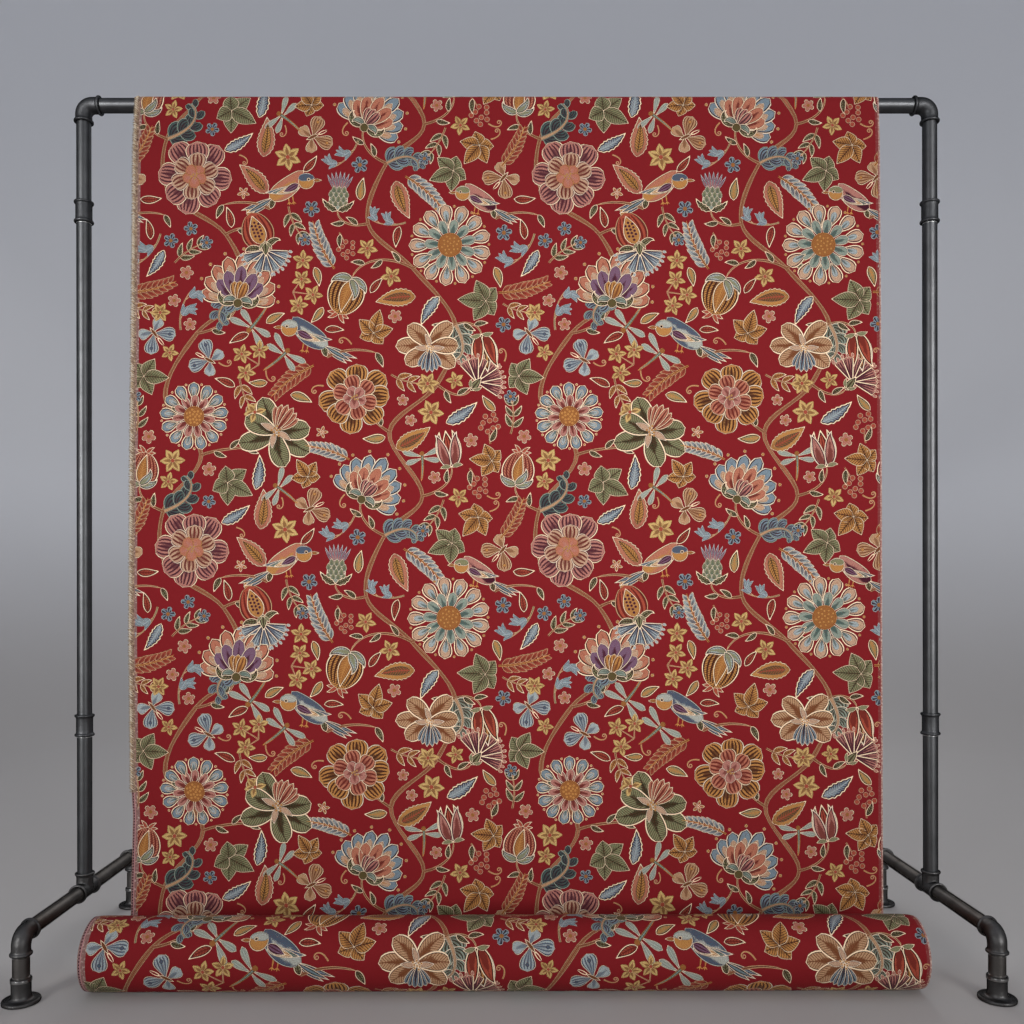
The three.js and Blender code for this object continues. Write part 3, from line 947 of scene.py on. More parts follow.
def fern(place, inks="sand umber coral brick"):
    """Opposite leaflets along a thin rib."""
    length, bend, pairs = 78, -25, 7
    for k in range(pairs + 1):
        f = (k + 0.6) / (pairs + 1)
        long = 25 * (1 - 0.62 * abs(f - 0.32))
        how = {"steps": 6, "shade": 0.7, "trim": (1.1, 0.5)}
        place.partway(f, length, bend).petals((-48, 48), 0, long, 8.5, "lance", inks, -28, **how)
    place.stroke(length * 1.12, 3, "stem", "gold moss ochre gold", bend, up=1, steps=8, trim=(0.7, 0))


def ivy(place, size=34, inks=amber):
    """A five-pointed leaf on a short stalk."""
    place.stroke(size * 0.4, 2.6, "stem", stalk, steps=3, trim=fine)
    heart = place.at(0, size * 0.36)
    how = {"up": 1, "steps": 7, "shade": 0.4, "vein": 1, "trim": (1.1, 0.6)}
    for turn, long in ((124, 0.62), (-124, 0.62), (62, 0.85), (-62, 0.85), (0, 1.05)):
        heart.at(turn=turn).stroke(size * long, size * 0.62, "leaf", inks, **how)


def forget_me_not(place, radius=11, inks="powder navy sky navy"):
    place.round(radius, inks, lobes=5, dent=0.42, steps=20, trim=(1.2, 0.6), stripes=10)
    place.round(radius * 0.27, "gold ochre honey gold", 1, steps=6, trim=(0.6, 0))


def star(place, radius=17, inks="straw umber straw ochre", points=6):
    turns = [360 * k / points for k in range(points)]
    how = {"lap": 2, "steps": 5, "shade": 0.8, "trim": (0.9, 0.4)}
    place.petals(turns, 1.5, radius, radius * 0.62, "lance", inks, **how)
    place.round(radius * 0.2, coral, 2, steps=6, trim=(0.5, 0))


def rosette(place, inks="cream plum blush brick", inner="ivory navy aqua teal"):
    """A full flower seen from the front, with two rings of petals round a seeded eye."""
    radius = 62
    for k in range(13):
        petal, how = place.at(turn=k * 360 / 13).at(0, radius * 0.42), {"up": k % 2, "steps": 8, "shade": 0.3}
        petal.cored(radius * 0.62, radius * 0.36, inks, "cream umber powder teal", **how)
        bead = place.at(turn=(k + 0.5) * 360 / 13).at(0, radius * 0.98)
        bead.round(2.4, "cream plum gold cream", steps=6, trim=(0.5, 0))
    turns = [k * 360 / 11 + 9 for k in range(11)]
    how = {"lap": 2, "up": 2, "steps": 7, "shade": 0.9, "trim": (1.3, 0.7)}
    place.petals(turns, radius * 0.24, radius * 0.42, radius * 0.25, "petal", inner, **how)
    place.round(radius * 0.31, "gold brick honey brick", 4, steps=16, trim=(1.2, 0.8))
    place.seeds(radius * 0.24, 19, "gold brick gold honey", 5)


def peony(place, inks=rose, inner="ivory plum blush brick", heart="gold brick salmon rose"):
    """A cabbage rose of round, lapping petals, a little wider than high."""
    radius = 58
    for k in range(8):
        long = radius * 0.72 * (1 + 0.09 * math.sin(2.4 * k))
        petal = place.at(turn=k * 45 + 8 * math.sin(1.7 * k)).at(0, radius * 0.30)
        how = {"up": k % 3, "shade": 0.8, "stripes": 3.2, "trim": (1.7, 0.9)}
        petal.stroke(long, radius * 0.66, "petal", inks, 16 * math.sin(k), **how)
    turns = [k * 60 + 24 for k in range(6)]
    how = {"lap": 2, "up": 3, "steps": 8, "shade": 0.6, "stripes": 2.2, "trim": (1.5, 0.8)}
    place.petals(turns, radius * 0.16, radius * 0.5, radius * 0.5, "petal", inner, 14, **how)
    turns = [k * 72 + 50 for k in range(5)]
    how = {"lap": 2, "up": 5, "steps": 7, "shade": 0.7, "trim": (1.2, 0.6)}
    place.petals(turns, 0, radius * 0.34, radius * 0.32, "petal", heart, 30, **how)
    place.seeds(radius * 0.1, 5, golden, 7)


def palmette(place, outer=salmon, middle="ivory plum lilac plum", inner=golden):
    """A fan-shaped flower seen from the side: three tiers of petals rising out of curled sepals."""
    size = 70
    for k, turn in enumerate((88, -88, 66, -66, 44, -44, 22, -22, 0)):
        long = size * (1.02 - 0.0032 * abs(turn))
        petal = place.at(turn=turn)
        how = {"bend": -turn * 0.25, "up": k % 2, "shade": 0.5}
        petal.at(0, size * 0.16).cored(long * 0.82, size * 0.31, outer, "cream umber blush gold", **how)
        bead = petal.at(0, size * 0.12 + long * 0.93).at(turn * 0.03)
        bead.round(2.6, golden, steps=6, trim=(0.6, 0))
    how = {"lean": -0.3, "fall": size * 0.0022, "lap": 2, "up": 2, "shade": 0.9, "trim": (1.4, 0.8)}
    place.petals((56, -56, 30, -30, 0), size * 0.08, size * 0.66, size * 0.27, "petal", middle, **how)
    how = {"lean": -0.6, "lap": 2, "up": 4, "steps": 8, "shade": 0.6, "stripes": 1.4, "trim": (1.2, 0.7)}
    place.petals((24, -24, 0), 0, size * 0.42, size * 0.2, "petal", inner, **how)
    for half in place.both():
        sepal, curl = half.at(turn=118), half.at(turn=62)
        sepal.stroke(size * 0.56, size * 0.17, "lance", green, -70, -90, 5, steps=10, shade=0.5, vein=1)
        curl.stroke(size * 0.36, size * 0.15, "lance", "ivory moss aqua teal", 46, 80, 6, shade=0.6)
    place.at(0, -size * 0.04).round(size * 0.1, "cream moss olive sage", 7, steps=10, trim=(0.9, 0.5))


def tulip(place, inks=coral, inner="ivory umber gold umber"):
    size = 62
    for half in place.both():
        behind = half.at(1.5, 0, -34)
        behind.stroke(size * 0.98, size * 0.27, "leaf", inner, 52, steps=10, shade=0.5, stripes=1.3)
    place.stroke(size * 0.95, size * 0.36, "leaf", inner, up=1, steps=10, shade=0.2, stripes=2)
    for half in place.both():
        half.at(2, 0, -30).stroke(size * 0.92, size * 0.3, "leaf", inks, 64, -70, 2, steps=11, shade=0.8)
    place.petals((-62, 62), 0, size * 0.3, size * 0.12, "lance", green, 50, up=3, steps=6, trim=(0.9, 0.5))


def carnation(place, inks=rose):
    """A fan of notched petals over a long calyx."""
    size = 50
    for k, turn in enumerate((72, -72, 50, -50, 27, -27, 0)):
        petal = place.at(0, size * 0.3).at(turn=turn)
        petal.stroke(size * 0.72, size * 0.36, "wedge", inks, up=k % 3, shade=0.9, stripes=2.3)
        for tip in (-9, 0, 9):
            notch = petal.at(0, size * 0.66).at(tip * size / 62)
            notch.stroke(size * 0.14, size * 0.1, "lance", inks, up=k % 3, steps=3, trim=fine)
    place.stroke(size * 0.48, size * 0.26, "leaf", green, up=4, steps=8, shade=0.3, stripes=1.4)
    for half in place.both():
        half.at(0, 3, 70).stroke(size * 0.3, size * 0.1, "lance", green, -60, up=5, steps=5, trim=(0.8, 0.4))


def lobed_bloom(place, inks=green, inner=salmon):
    """A broad leafy blossom: wide veined petals spread below, and a crest of small ones rises from them."""
    size = 66
    for k, turn in enumerate((152, -150, 104, -102, 58, -60)):
        long = size * (0.95 - 0.07 * (k % 3))
        how = {"up": k % 3, "steps": 11, "shade": 0.9, "vein": 1, "trim": (2.4, 1.2)}
        place.at(turn=turn).stroke(long, size * 0.5, "petal", inks, -turn * 0.2, **how)
    crest = place.at(0, size * 0.05)
    turns = (44, -44, 26, -26, 9, -9)
    how = {"lap": 2, "up": 3, "steps": 8, "shade": 0.8, "stripes": 1.2, "trim": (1.2, 0.6)}
    crest.petals(turns, 0, size * 0.66, size * 0.17, "petal", inner, lean=-0.5, fall=size * 0.002, **how)
    how = {"lean": 0.2, "up": 5, "steps": 7, "trim": (1.1, 0.6)}
    place.petals((84, -84, 180), 0, size * 0.42, size * 0.16, "lance", "ivory plum blush brick", **how)
    place.seeds(size * 0.13, 9, golden, 6)


def gourd(place, inks=amber):
    """A round fruit hatched all over, cleft down its side, in a curled husk."""
    size = 56
    for half in place.at(0, size * 0.86).both():
        for turn, long in ((38, 0.34), (12, 0.4)):
            tip, how = half.at(turn=turn), {"steps": 6, "trim": (1.0, 0.5)}
            tip.stroke(size * long, size * 0.12, "lance", "cream plum coral brick", 50, **how)
    how = {"up": 1, "steps": 16, "shade": 0.5, "vein": 1, "stripes": 4.4, "trim": (2.0, 1.0)}
    place.stroke(size, size * 0.98, "egg", inks, **how)
    cleft = place.at(-2, size * 0.05, -12)
    how = {"up": 2, "steps": 11, "shade": 0.3, "vein": 1, "trim": (1.6, 0.9)}
    cleft.stroke(size * 0.9, size * 0.34, "leaf", "cream moss honey gold", 26, **how)
    for side, turn in ((1, 96), (-1, 96), (1, 58)):
        husk, how = place.at(hand=side).at(2, 2, turn), {"up": 3, "shade": 0.8, "vein": 1}
        husk.stroke(size * 0.62, size * 0.24, "leaf", "ivory navy powder sage", -40, -50, **how)


def two_tone(place, inks=amber, heart="sand moss olive coral"):
    """A toothed leaf with a heart of another colour."""
    length, width, bend = 66, 31, 18
    place.stroke(length, width, "leaf", inks, bend, shade=0.3, teeth=9, bite=0.2, trim=(1.3, 0.7))
    inner = place.at(0, length * 0.09)
    how = {"up": 1, "steps": 10, "trim": (0.7, 0.9), "shade": 0.2, "vein": 1}
    inner.stroke(length * 0.76, width * 0.5, "leaf", heart, bend * 0.8, **how)


def trio(place):
    """Three star flowers on forked stalks."""
    for turn, long in ((-58, 25), (6, 33), (66, 24)):
        tip = place.at(turn=turn).stroke(long, 2.2, "stem", stalk, steps=3, trim=fine)
        star(tip.at(up=1), 15, points=5)


def pomegranate(place):
    """A split fruit with a crown, seeds showing."""
    size = 62
    crown = place.at(0, size * 0.8)
    how = {"lean": -1.2, "steps": 6, "trim": (1.0, 0.5)}
    crown.petals((-26, -9, 9, 26), 0, size * 0.26, size * 0.14, "leaf", golden, **how)
    how = {"up": 1, "steps": 14, "shade": 0.4, "stripes": 3.4, "trim": (1.7, 1.0)}
    place.stroke(size * 0.92, size * 0.8, "egg", "sand umber coral brick", **how)
    split = place.at(0, size * 0.1)
    split.stroke(size * 0.74, size * 0.4, "leaf", golden, up=2, steps=12, shade=0.2, trim=(1.5, 0.9))
    for k in range(6):
        for j in (-1, 0, 1):
            if j == 0 or 0 < k < 5:
                seed = place.at(j * size * 0.085, size * (0.22 + 0.088 * k + 0.03 * abs(j)))
                seed.round(size * 0.036, "rose brick plum rose", 3, steps=6, trim=(0.5, 0))
    place.petals((-74, 74), 0, size * 0.5, size * 0.17, "lance", green, -30, 110, up=3, shade=0.5, vein=1)


def thistle(place):
    """A scaly cone with a tuft on top."""
    size = 52
    how = {"lean": -0.4, "steps": 6, "trim": (0.8, 0.4), "shade": 0.8}
    turns, tuft = (-42, 42, -28, 28, -14, 14, 0), place.at(0, size * 0.42)
    tuft.petals(turns, 0, size * 0.6, size * 0.085, "lance", "powder plum lilac rose", **how)
    place.stroke(size * 0.62, size * 0.5, "egg", "ivory navy aqua teal", up=1, steps=12)
    for row in range(4):
        for j in range(row % 2, 4):
            right = (j - (3 + row % 2) / 2) * size * 0.125
            scale = place.at(right, size * (0.08 + 0.12 * row), -right * 0.6)
            how = {"up": 2 + row % 2, "steps": 5, "shade": 0.6, "trim": (0.8, 0.5)}
            scale.stroke(size * 0.2, size * 0.14, "leaf", "ivory teal sage teal", **how)
    how = {"up": 4, "teeth": 5, "bite": 0.4, "shade": 0.4, "vein": 1}
    place.petals((-80, 80), 0, size * 0.52, size * 0.2, "leaf", green, -50, **how)


def bell_spray(place, inks="powder navy sky powder"):
    """Hanging bells along an arching stalk."""
    length, bend, bells = 70, 50, 4
    for k in range(bells):
        f = (k + 1) / bells
        drop = place.partway(f, length * (1 - 0.06 * f), bend).at(turn=75 if k % 2 else 28)
        foot = drop.stroke(7, 1.8, "stem", "sand moss sage sand", steps=3, trim=fine)
        how = {"steps": 6, "trim": (1.0, 0.5)}
        foot.petals((-24, 24), 0, 20, 8, "leaf", inks, -10, 40, up=1, shade=0.6, **how)
        foot.stroke(19, 9, "leaf", inks, up=2, shade=0.2, stripes=1.3, **how)
    place.stroke(length, 3.2, "stem", "sand moss sage sand", bend, steps=12, trim=(0.8, 0.3))


def berries(place):
    """A round cluster on a stalk, over one leaf."""
    tip = place.stroke(26, 2.4, "stem", stalk, 15, steps=5, trim=fine).at(0, 7)
    for k in range(9):
        berry = tip.at(turn=k * golden_turn).at(0, 5.2 + 3.9 * math.sqrt(k))
        berry.round(4.6, "blush brick coral rose", 1 + k % 2, steps=8, trim=(1.1, 0.5))
    leaf(place.at(0, 4, 50, up=1), 26, 10, bend=-30)


def sprig(place, top, inks=green):
    """A small stalk with paired leaves, and a little flower at its tip."""
    length, bend, pairs = 62, 35, 3
    for k in range(pairs):
        f = (k + 0.7) / (pairs + 0.6)
        spot = place.partway(f, length, bend).at(size=1.1 - 0.35 * f)
        spot.petals((-52, 52), 0, 24, 9.5, "leaf", inks, -30, steps=7, shade=0.5, vein=1, trim=(1.1, 0.5))
    tip = place.stroke(length, 3, "stem", stalk, bend, up=1, steps=10, trim=(0.8, 0.3))
    top(tip.at(up=2))


def tendril(place):
    place.stroke(46, 2.2, "stem", "sand umber gold sand", 60, 520, steps=22, trim=(0.6, 0))


def songbird(place, coat="powder navy steel sky", breast="cream umber salmon gold"):
    """A small finch on a twig, tail down behind it."""
    perch = place.at(-34, -14)
    how = {"up": 1, "trim": (1.0, 0.5), "stripes": 1.1}
    twig = perch.at(turn=58).stroke(78, 5, "stem", bark, 42, **how)
    leaf(twig.at(turn=38, up=1), 26, 11)
    leaf(perch.at(turn=-30, up=1), 26, 11, bend=30)
    for k, body in enumerate(("steel", "teal", "steel")):
        feather = place.at(-26, 4).at(turn=110 + 8 * k)
        how = {"up": k % 2, "steps": 8, "shade": 0.3, "stripes": 1.2}
        feather.stroke(58 - 5 * k, 8.5, "lance", f"ivory navy {body} sky", -8, **how)
    place.at(-34, 4, -74).stroke(72, 33, "egg", breast, 34, up=2, steps=14, shade=1, trim=(1.4, 0.7))
    place.at(29, 25).round(13.5, "cream umber gold cream", 3, steps=16, trim=(1.2, 0.6))
    place.at(16, 30, -76).stroke(27, 13, "egg", coat, -34, up=4, steps=8, trim=(1.0, 0.6))
    place.at(40, 25, -96).stroke(14, 6, "leaf", "cream umber honey gold", up=4, steps=4, trim=(0.7, 0.3))
    place.at(33, 27).round(3.2, "cream ink cream ink", 5, steps=8, trim=(0.2, 0.0))
    place.at(33, 27).round(1.9, "ink ink ink ink", 6, steps=6, trim=(0.2, 0.0))
    wing = (
        (96, 56, "ivory navy steel sky"),
        (102, 48, "ivory navy teal aqua"),
        (109, 39, "cream umber gold cream"),
        (116, 29, "ivory plum lilac plum"),
    )
    for k, (turn, long, inks) in enumerate(wing):
        how = {"up": 3 + k, "shade": 0.2, "stripes": 1.6, "trim": (1.1, 0.6)}
        place.at(16, 15 + 2.2 * k, turn).stroke(long, 13, "leaf", inks, -9, **how)
    for right in (-3, 4):
        claw = {"up": 1, "trim": fine}
        foot = place.at(right, 5, 184).stroke(12, 2.4, "stem", "gold brick honey gold", steps=3, **claw)
        foot.petals((-50, 0, 50), 0, 5, 1.8, "stem", "gold brick honey gold", steps=2, **claw)


def moth(place, inks="ivory navy powder steel", spots="navy navy steel navy"):
    for half in place.both():
        fore, hind = half.at(1.5, 3, -54), half.at(1.5, -1, -122)
        fore.stroke(33, 24, "spoon", inks, 16, up=1, shade=0.4, stripes=2.4, trim=(1.2, 0.6))
        hind.stroke(24, 19, "spoon", inks, 14, steps=8, shade=0.7, trim=(1.2, 0.6))
        fore.at(-2, 23).round(3.0, spots, 2, steps=8, trim=(0.6, 0))
        half.at(1, 12, -18).stroke(15, 1.4, "stem", "cream ink cream ink", 40, up=2, steps=6, trim=fine)
    place.at(0, -11).stroke(25, 6, "lance", "cream ink ochre brick", up=3, steps=7, trim=(0.9, 0.6))


def dragonfly(place):
    for half in place.both():
        for turn, long, forward in ((74, 38, 8), (106, 33, 4)):
            how = {"steps": 8, "shade": 0.3, "stripes": 1.6, "trim": (1.0, 0.5)}
            half.at(1, forward, -turn).stroke(long, 11, "spoon", "ivory teal aqua silver", 6, **how)
    body = place.at(0, 12, 180)
    body.stroke(52, 6.5, "stem", "gold ink teal aqua", 14, up=1, vein=1, trim=(0.9, 0.4))
    place.at(0, 13).round(4.6, "gold ink honey teal", 2, steps=8, trim=(0.8, 0.4))


def climbing(points):
    """A winding stem through these places, on from the last repeat and into the next."""
    rise = np.array((0, repeat))
    p = np.array(points, float)
    p = np.array([p[-1] - rise, *p, p[0] + rise, p[1] + rise])
    rows = []
    for k in range(1, len(p) - 2):
        t = np.linspace(0, 1, 9)[:, None]
        a, b, c, d = p[k - 1 : k + 3]
        curve = 2 * b + (c - a) * t + (2 * a - 5 * b + 4 * c - d) * t**2 + (3 * b - a - 3 * c + d) * t**3
        rows.append(0.5 * curve[:-1])
    path = np.concatenate([*rows, [p[-2]]])
    way = np.gradient(path, axis=0)
    way /= np.linalg.norm(way, axis=1)[:, None]
    run = np.concatenate([[0], np.cumsum(np.linalg.norm(np.diff(path, axis=0), axis=1))])
    half = 3.75 * (1 + 0.16 * np.sin(run / 17))
    across = np.stack([way[:, 1], -way[:, 0]], axis=1)
    drawn.band(path, across, run / run[-1], half, run, bark, -1, (1.1, 0.6), stripes=1.2)


def shoot(x, y, heading, length, bend, curl, top, size=1.0, hand=1, leaves=3, **more):
    """A side stem with small leaves along it and a motif at its end."""
    start = Shuttle(x, y, heading, 1.0, hand)
    for k in range(leaves):
        side = 1 if k % 2 else -1
        spot = start.partway((k + 0.8) / (leaves + 0.9), length, bend, curl, 12)
        leaf(spot.at(turn=side * 50 * hand, up=1), 27, 11, bend=-side * 30)
    how = {"steps": 14, "trim": (1.0, 0.5), "stripes": 1.1}
    tip = start.stroke(length, 5.5, "stem", bark, bend, curl, **how)
    top(tip.at(size=size, up=2), **more)


# Two winding stems climb each repeat, and everything else grows out of them.
climbing([(128, 18), (60, 128), (118, 246), (206, 322), (170, 432), (66, 508), (58, 612)])
climbing([(478, 60), (566, 150), (600, 262), (520, 368), (436, 452), (470, 566), (540, 640)])

blue_petals = {"inks": "cream navy sky navy", "inner": rosy}
gold_petals = {"inks": "ivory umber gold umber", "inner": salmon, "heart": rosy}
blue_fan = {"outer": "ivory navy sky navy", "middle": salmon, "inner": rose}
pink_cup = {"inks": rosy, "inner": coral}
tan_lobes = {"inks": "cream umber sand ochre", "inner": "ivory navy sky navy"}

shoot(118, 246, 8, 104, 46, 30, palmette, size=1.32, leaves=2)
shoot(66, 508, 64, 60, -40, -30, peony, size=1.18, leaves=2)
shoot(60, 128, -30, 66, -30, 40, rosette, size=1.0, leaves=2, **blue_petals)
shoot(206, 322, 40, 96, 40, 30, pomegranate, size=1.25, leaves=3)
shoot(600, 262, 20, 58, -60, -40, tulip, size=1.25, leaves=2)
shoot(566, 150, -40, 70, 30, 60, carnation, size=1.35, leaves=2)
shoot(520, 368, 30, 84, -30, 70, rosette, size=1.2, leaves=3)
shoot(470, 566, 160, 92, -60, -40, palmette, size=1.25, leaves=2, **blue_fan)
shoot(436, 452, 196, 72, -50, -60, thistle, size=1.4, leaves=2)
shoot(478, 60, 150, 92, -46, 30, peony, size=1.12, leaves=3, **gold_petals)
shoot(540, 640, 10, 84, 50, 40, tulip, size=1.2, leaves=2, **pink_cup)
shoot(170, 432, 30, 88, -46, -70, carnation, size=1.25, leaves=2, inks="ivory navy powder steel")
shoot(128, 18, 20, 150, -50, 90, lobed_bloom, size=1.2, leaves=4)
shoot(520, 368, 150, 130, 60, 40, gourd, size=1.3, leaves=3)
shoot(58, 612, 160, 70, 30, 50, gourd, size=1.15, hand=-1, leaves=2, inks="cream plum salmon brick")
shoot(600, 262, 190, 70, 50, 30, lobed_bloom, size=1.02, leaves=2, **tan_lobes)

frond(Shuttle(205, 322, 200, 0.95, 1, 1), 96)
frond(Shuttle(600, 262, 300, 0.9, -1, 1), 98, "ivory moss aqua moss")
frond(Shuttle(60, 612, 20, 0.95, 1, 1), 104, "aqua navy teal navy")
frond(Shuttle(470, 566, 30, 0.85, -1, 1), 92)
songbird(Shuttle(290, 500, 96, 1.15, 1, 2))
songbird(Shuttle(640, 480, 84, 1.05, -1, 2), "ivory teal sage aqua", rose)
songbird(Shuttle(322, 222, 84, 1.2, -1, 2), "silver ink silver ink", "silver ink steel silver")

# The gaps are filled one by one, the widest first, with small things of a size to suit.
# Each has the room it needs, how far back it starts from the middle of the gap, and how it is drawn.
small = [
    (34, -42, fern, {}),
    (33, -33, two_tone, {}),
    (32, -16, trio, {}),
    (31, -26, ivy, {"size": 44, "inks": green}),
    (30, 0, moth, {}),
    (30, -42, fern, {"inks": "ivory navy powder navy"}),
    (29, -26, berries, {}),
    (29, -33, two_tone, {"inks": "cream plum salmon brick", "heart": "sand umber gold moss"}),
    (28, -34, bell_spray, {}),
    (28, -22, ivy, {"size": 38}),
    (27, -30, sprig, {"top": forget_me_not}),
    (27, 0, moth, {"inks": "cream umber sand ochre", "spots": "brick ink gold brick"}),
    (26, 0, dragonfly, {}),
    (25, -30, leaf, {"length": 62, "width": 24, "inks": "cream navy steel powder", "bend": 26, "teeth": 7}),
    (25, 0, star, {"radius": 21}),
    (24, -30, sprig, {"inks": golden, "top": star}),
    (18, 0, forget_me_not, {"radius": 14}),
    (18, 0, star, {"radius": 16, "points": 5}),
    (17, -19, leaf, {"length": 38, "width": 16, "inks": "cream moss sage gold", "bend": 24}),
    (16, 0, forget_me_not, {"radius": 12, "inks": "cream umber salmon rose"}),
    (15, -18, leaf, {"length": 36, "width": 14, "inks": coral, "bend": -24}),
    (15, -16, tendril, {}),
    (9, 0, star, {"radius": 9, "inks": "cream umber gold coral", "points": 5}),
    (8, -10, leaf, {"length": 20, "width": 8, "inks": "ivory navy aqua teal", "bend": 30}),
]
lattice_step = 7.5
most_fillings = 150
least_room = 15
size_slack = 8  # how much smaller than the biggest that fits a filling may be
largest = 1.15
heading_step = 77
choice_step = 7
lattice = np.stack(np.meshgrid(*[np.arange(0, repeat, lattice_step)] * 2), axis=-1).reshape(-1, 2)


def room_left(marks):
    """How far each point of the lattice is from everything drawn, the next repeats included."""
    room = np.full(len(lattice), 1e9)
    for k in range(0, len(marks), 400):
        some = marks[k : k + 400]
        d = (lattice[:, None, :] - some[None, :, :2] + repeat / 2) % repeat - repeat / 2
        room = np.minimum(room, (np.linalg.norm(d, axis=2) - some[:, 2]).min(axis=1))
    return room


room = room_left(np.concatenate(drawn.marks))
for number in range(most_fillings):
    widest = int(room.argmax())
    if room[widest] < least_room:
        break
    fitting = [row for row in small if row[0] <= room[widest] + 1]
    near = [row for row in fitting if row[0] > fitting[0][0] - size_slack]
    needed, back, draw, how = near[(number * choice_step) % len(near)]
    x, y = lattice[widest]
    before = len(drawn.marks)
    heading, hand = (number * heading_step) % 360, 1 if number % 2 else -1
    gap = Shuttle(x, y, heading, min(largest, room[widest] / needed), hand, 1)
    aside = 8 if draw is bell_spray else 0  # the bells all hang to one side of their stalk
    draw(gap.at(aside, back), **how)
    room = np.minimum(room, room_left(np.concatenate(drawn.marks[before:])))

# One finish colours every stroke: rim, line and body, then stripes, veins and hatched shade, with the crimson
# peeping through between the picks of weft.
figured = Woven("figure_weft", 0.78, 0.05, (1.0, 0.9, 0.8))
shape, trims, styles = (figured.told(title, "Vector") for title in ("shape", "trims", "styles"))
s, half = figured.part(shape, "X"), figured.part(shape, "Z")
e = figured.part(shape, "Y").math("ABSOLUTE")
rim_width, line_width = figured.part(trims, "X"), figured.part(trims, "Y")
fray = figured.noise(figured.flat, 1100, 2)
inside = half - e + fray.scaled(0.9, -0.45, clamp=False)
in_rim = inside < rim_width
in_line = inside < rim_width + line_width

away = figured.node("Math", "Value", {"operation": "SUBTRACT"}, _0=1.0, _1=s) > 0.12
stripe = figured.told("phase").math("FRACT") < 0.46
stripe = stripe * figured.part(styles, "Y") * away
side_vein = (e.scaled(-0.85, figured.told("run"), clamp=False) * 0.2).math("FRACT") < 0.24
vein = side_vein.math("MAXIMUM", e < 0.75) * figured.part(styles, "Z")
depth = s + e.math("DIVIDE", half.math("MAXIMUM", 0.5))
deepening = figured.node(
    "MapRange", "Result", {"interpolation_type": "SMOOTHSTEP"}, Value=depth, From_Min=1.1, From_Max=0.35
)
cloud = figured.noise(figured.flat, 70, 1)
hatch = fray.scaled(1.6, -0.8, clamp=False) + cloud.scaled(1.2, -0.6, clamp=False)
deep = ((deepening + hatch) > 0.37) * figured.part(styles, "X")
detail = (stripe * 0.95).math("MAXIMUM", vein).math("MAXIMUM", deep, clamp=True)

colour = figured.blend(detail, figured.told("ink_body", "Color"), figured.told("ink_detail", "Color"))
colour = figured.blend(in_line, colour, figured.told("ink_line", "Color"))
colour = figured.blend(in_rim, colour, figured.told("ink_rim", "Color"))
peeping = (figured.noise(figured.flat, 900, 1) < 0.44) * in_rim.scaled(-0.25, 0.55, clamp=False)
colour = figured.blend(peeping, colour, crimson)
# A dark umber edge round every wide stroke: partly a woven outline, and partly painted shadow where the
# floats stand off the ground.
outline_and_shadow = (inside < 0.45) * (half > 2.4)
colour = figured.blend(outline_and_shadow * 0.75, colour, dyed(yarns["umber"]))
thread = figured.yarn.scaled(0.95, 0.27, clamp=False) + in_rim * 0.2
threads = figured.node("CombineColor", "Color", Red=thread, Green=thread, Blue=thread)
figured.lead("Base Color", figured.blend(1.0, colour, threads, blend_type="MULTIPLY"))

# Behind, the figure is crimson where it is coloured in front, with its own yarns glinting through in streaks.
reversed_figure = Woven("figure_reversed", 0.9, 0.06, (0.9, 0.75, 0.7))
shape, trims = reversed_figure.told("shape", "Vector"), reversed_figure.told("trims", "Vector")
inside = reversed_figure.part(shape, "Z") - reversed_figure.part(shape, "Y").math("ABSOLUTE")
in_rim = inside < reversed_figure.part(trims, "X") + 0.3
glint = reversed_figure.streaks(30, 700).scaled(6.0, -2.9)
own = reversed_figure.told("ink_body", "Color")
colour = reversed_figure.blend(glint * 0.36, (0.145, 0.0095, 0.0135), own)
reversed_figure.lead("Base Color", reversed_figure.blend(in_rim * 0.55, colour, (0.20, 0.075, 0.06)))

figure_rows = np.concatenate(drawn.rows)
figure_triangles = np.concatenate(drawn.triangles)
column = {name: k for k, name in enumerate(Figure.columns)}
figure_margin = 3.0  # millimetres of plain ground before the first repeat
figure_left, figure_right = 9.5, 1394.0
smallest = 0.02  # square millimetres, below which a triangle is left out


def parted(rows, triangles, axis, place):
    """Cuts the triangles along the line where column axis is at place."""
    off = rows[:, axis] - place
    above = (off >= 0)[triangles]
    count = above.sum(axis=1)
    crossed = (count == 1) | (count == 2)
    if not crossed.any():
        return rows, triangles
    some, above = triangles[crossed], above[crossed]
    alone = np.where(above.sum(axis=1)[:, None] == 1, above, ~above).argmax(axis=1)
    a, b, c = np.take_along_axis(some, (alone[:, None] + np.arange(3)) % 3, axis=1).T
    to_b, to_c = ((off[a] / (off[a] - off[other]))[:, None] for other in (b, c))
    first = len(rows) + np.arange(len(some))
    second = first + len(some)
    rows = np.concatenate([rows, rows[a] + to_b * (rows[b] - rows[a]), rows[a] + to_c * (rows[c] - rows[a])])
    pieces = [np.stack(t, axis=1) for t in ((a, first, second), (first, b, c), (first, c, second))]
    return rows, np.concatenate([triangles[~crossed], *pieces])


def repeats_over(low, high):
    """The rows and triangles of every repeat that reaches into this stretch, not yet trimmed to it."""
    rows, triangles, count = [], [], 0
    for i in range(-1, 3):
        for j in range(-1, int(line_v[-1] / mm / repeat) + 2):
            moved = figure_rows.copy()
            moved[:, 0] = figure_rows[:, 0] + figure_margin + i * repeat
            moved[:, 1] = (j + 0.9) * repeat - figure_rows[:, 1]
            corners = moved[figure_triangles][:, :, :2]
            near = ((corners.max(axis=1) > low) & (corners.min(axis=1) < high)).all(axis=1)
            if near.any():
                rows.append(moved)
                triangles.append(figure_triangles[near] + count)
                count += len(moved)
    return np.concatenate(rows), np.concatenate(triangles)


def only_used(points, faces):
    used, faces = np.unique(faces, return_inverse=True)
    return points[used], faces.reshape(-1, 3)


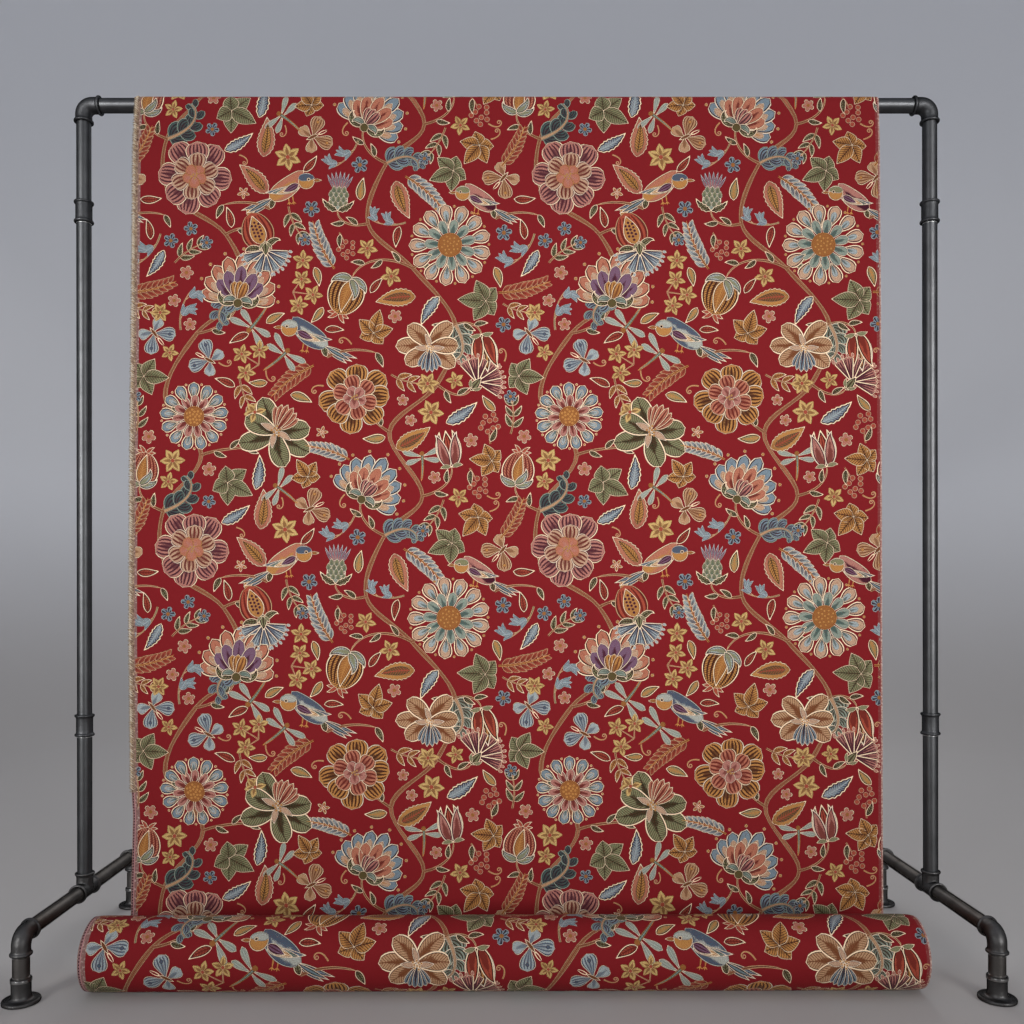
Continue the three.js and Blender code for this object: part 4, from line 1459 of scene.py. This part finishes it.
def laid(name, v_from, v_to, side=1, finish=figured):
    """The figure over one stretch of the cloth, trimmed to it and cut where it bends.
    It lies on the face, or on the reverse where side is -1."""
    low, high = np.array([(figure_left, v_from / mm), (figure_right, v_to / mm)])
    points, faces = only_used(*repeats_over(low, high))
    for axis in (0, 1):
        for edge in (low[axis], high[axis]):
            points, faces = parted(points, faces, axis, edge)
        middle = points[faces][:, :, axis].mean(axis=1)
        faces = faces[(middle > low[axis]) & (middle < high[axis])]
    for bend in line_v[(line_v > v_from) & (line_v < v_to)]:
        straight = ends["tail"] > bend or ends["rail"] < bend < ends["panel"]
        if not straight:
            points, faces = parted(points, faces, 1, bend / mm)
    a, b, c = (points[faces[:, k]][:, :2] for k in range(3))
    area = (b[:, 0] - a[:, 0]) * (c[:, 1] - a[:, 1]) - (b[:, 1] - a[:, 1]) * (c[:, 0] - a[:, 0])
    faces = np.where(area[:, None] > 0, faces[:, ::-1], faces)[np.abs(area) > smallest]
    faces = faces[np.argsort(points[faces[:, 0], column["level"]], kind="stable")]
    points, faces = only_used(points, faces)

    out = side * (cloth_thickness / 2 + first_float + float_step * points[:, column["level"]])
    places = on_cloth(points[:, 0] * mm, points[:, 1] * mm, out)
    places[:, 2] = np.maximum(places[:, 2], 0.1 * mm)
    made = new_mesh(name, places, faces[:, ::side])
    tell(made, "flat", np.column_stack([points[:, :2] * mm, 0 * points[:, 0]]))
    for title, parts in (("shape", "s e half"), ("trims", "rim line level"), ("styles", "shade stripe vein")):
        tell(made, title, points[:, [column[part] for part in parts.split()]])
    for title in ("phase", "run"):
        tell(made, title, points[:, column[title]], "FLOAT", "value")
    shades = np.array([[*dyed(code), 1] for code in yarns.values()])
    for ink in ("ink_rim", "ink_line", "ink_body", "ink_detail"):
        tell(made, ink, shades[np.rint(points[:, column[ink]]).astype(int)], "FLOAT_COLOR", "color")
    spread_flat(made, 0.002 + 0.996 * (points[:, :2] - low) / (high - low))
    made.data.materials.append(finish.material)
    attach(made, "root")
    return made


panel_starts = [ends["tail"] / 2 + ends["rail"] / 2, 1.08, 1.56]
panel_stops = [*panel_starts[1:], ends["loop"]]
tail_figure = laid("figure_on_tail", 4 * mm, panel_starts[0])
panel_figures = [
    laid(f"figure_on_panel_{k}", start, stop)
    for k, (start, stop) in enumerate(zip(panel_starts, panel_stops), 1)
]
roll_figure = laid("figure_on_roll", ends["loop"], first_turn_end)
reverse_start = ends["rail"] + 0.42
reverse_figure = laid("figure_on_reverse", reverse_start, ends["loop"], side=-1, finish=reversed_figure)

# ---- The cut warp ends ----
# The tail is cut and left raw, so the ends of its warp hang a few millimetres past its edge.
# They are cotton yarn, mostly dyed crimson, with some cream and a few dark ones.

warp_step = 2.3 * mm
warp_shades = [(0.19, 0.012, 0.016), (0.12, 0.008, 0.012), (0.34, 0.25, 0.16), (0.10, 0.11, 0.11)]

fringe = YarnEnds()
for k in range(int(cloth_width / warp_step)):
    u = (k + luck.uniform(0.2, 0.8)) * warp_step
    long, lean = luck.uniform(2.0, 6.5) * mm, luck.uniform(-1.6, 1.6) * mm
    tip = (u + lean, -long, luck.uniform(-0.8, 0.8) * mm)
    path = [(u, 2 * mm, 0), (u + 0.3 * lean, -0.5 * long, 0.1 * mm), tip]
    shade = warp_shades[luck.choice(4, p=(0.45, 0.3, 0.17, 0.08))]
    fringe.add(path, (0.5 * mm, 0.45 * mm, 0.28 * mm), shade, 5)
warp_ends = fringe.made_up("cut_warp_ends")

low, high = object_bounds()
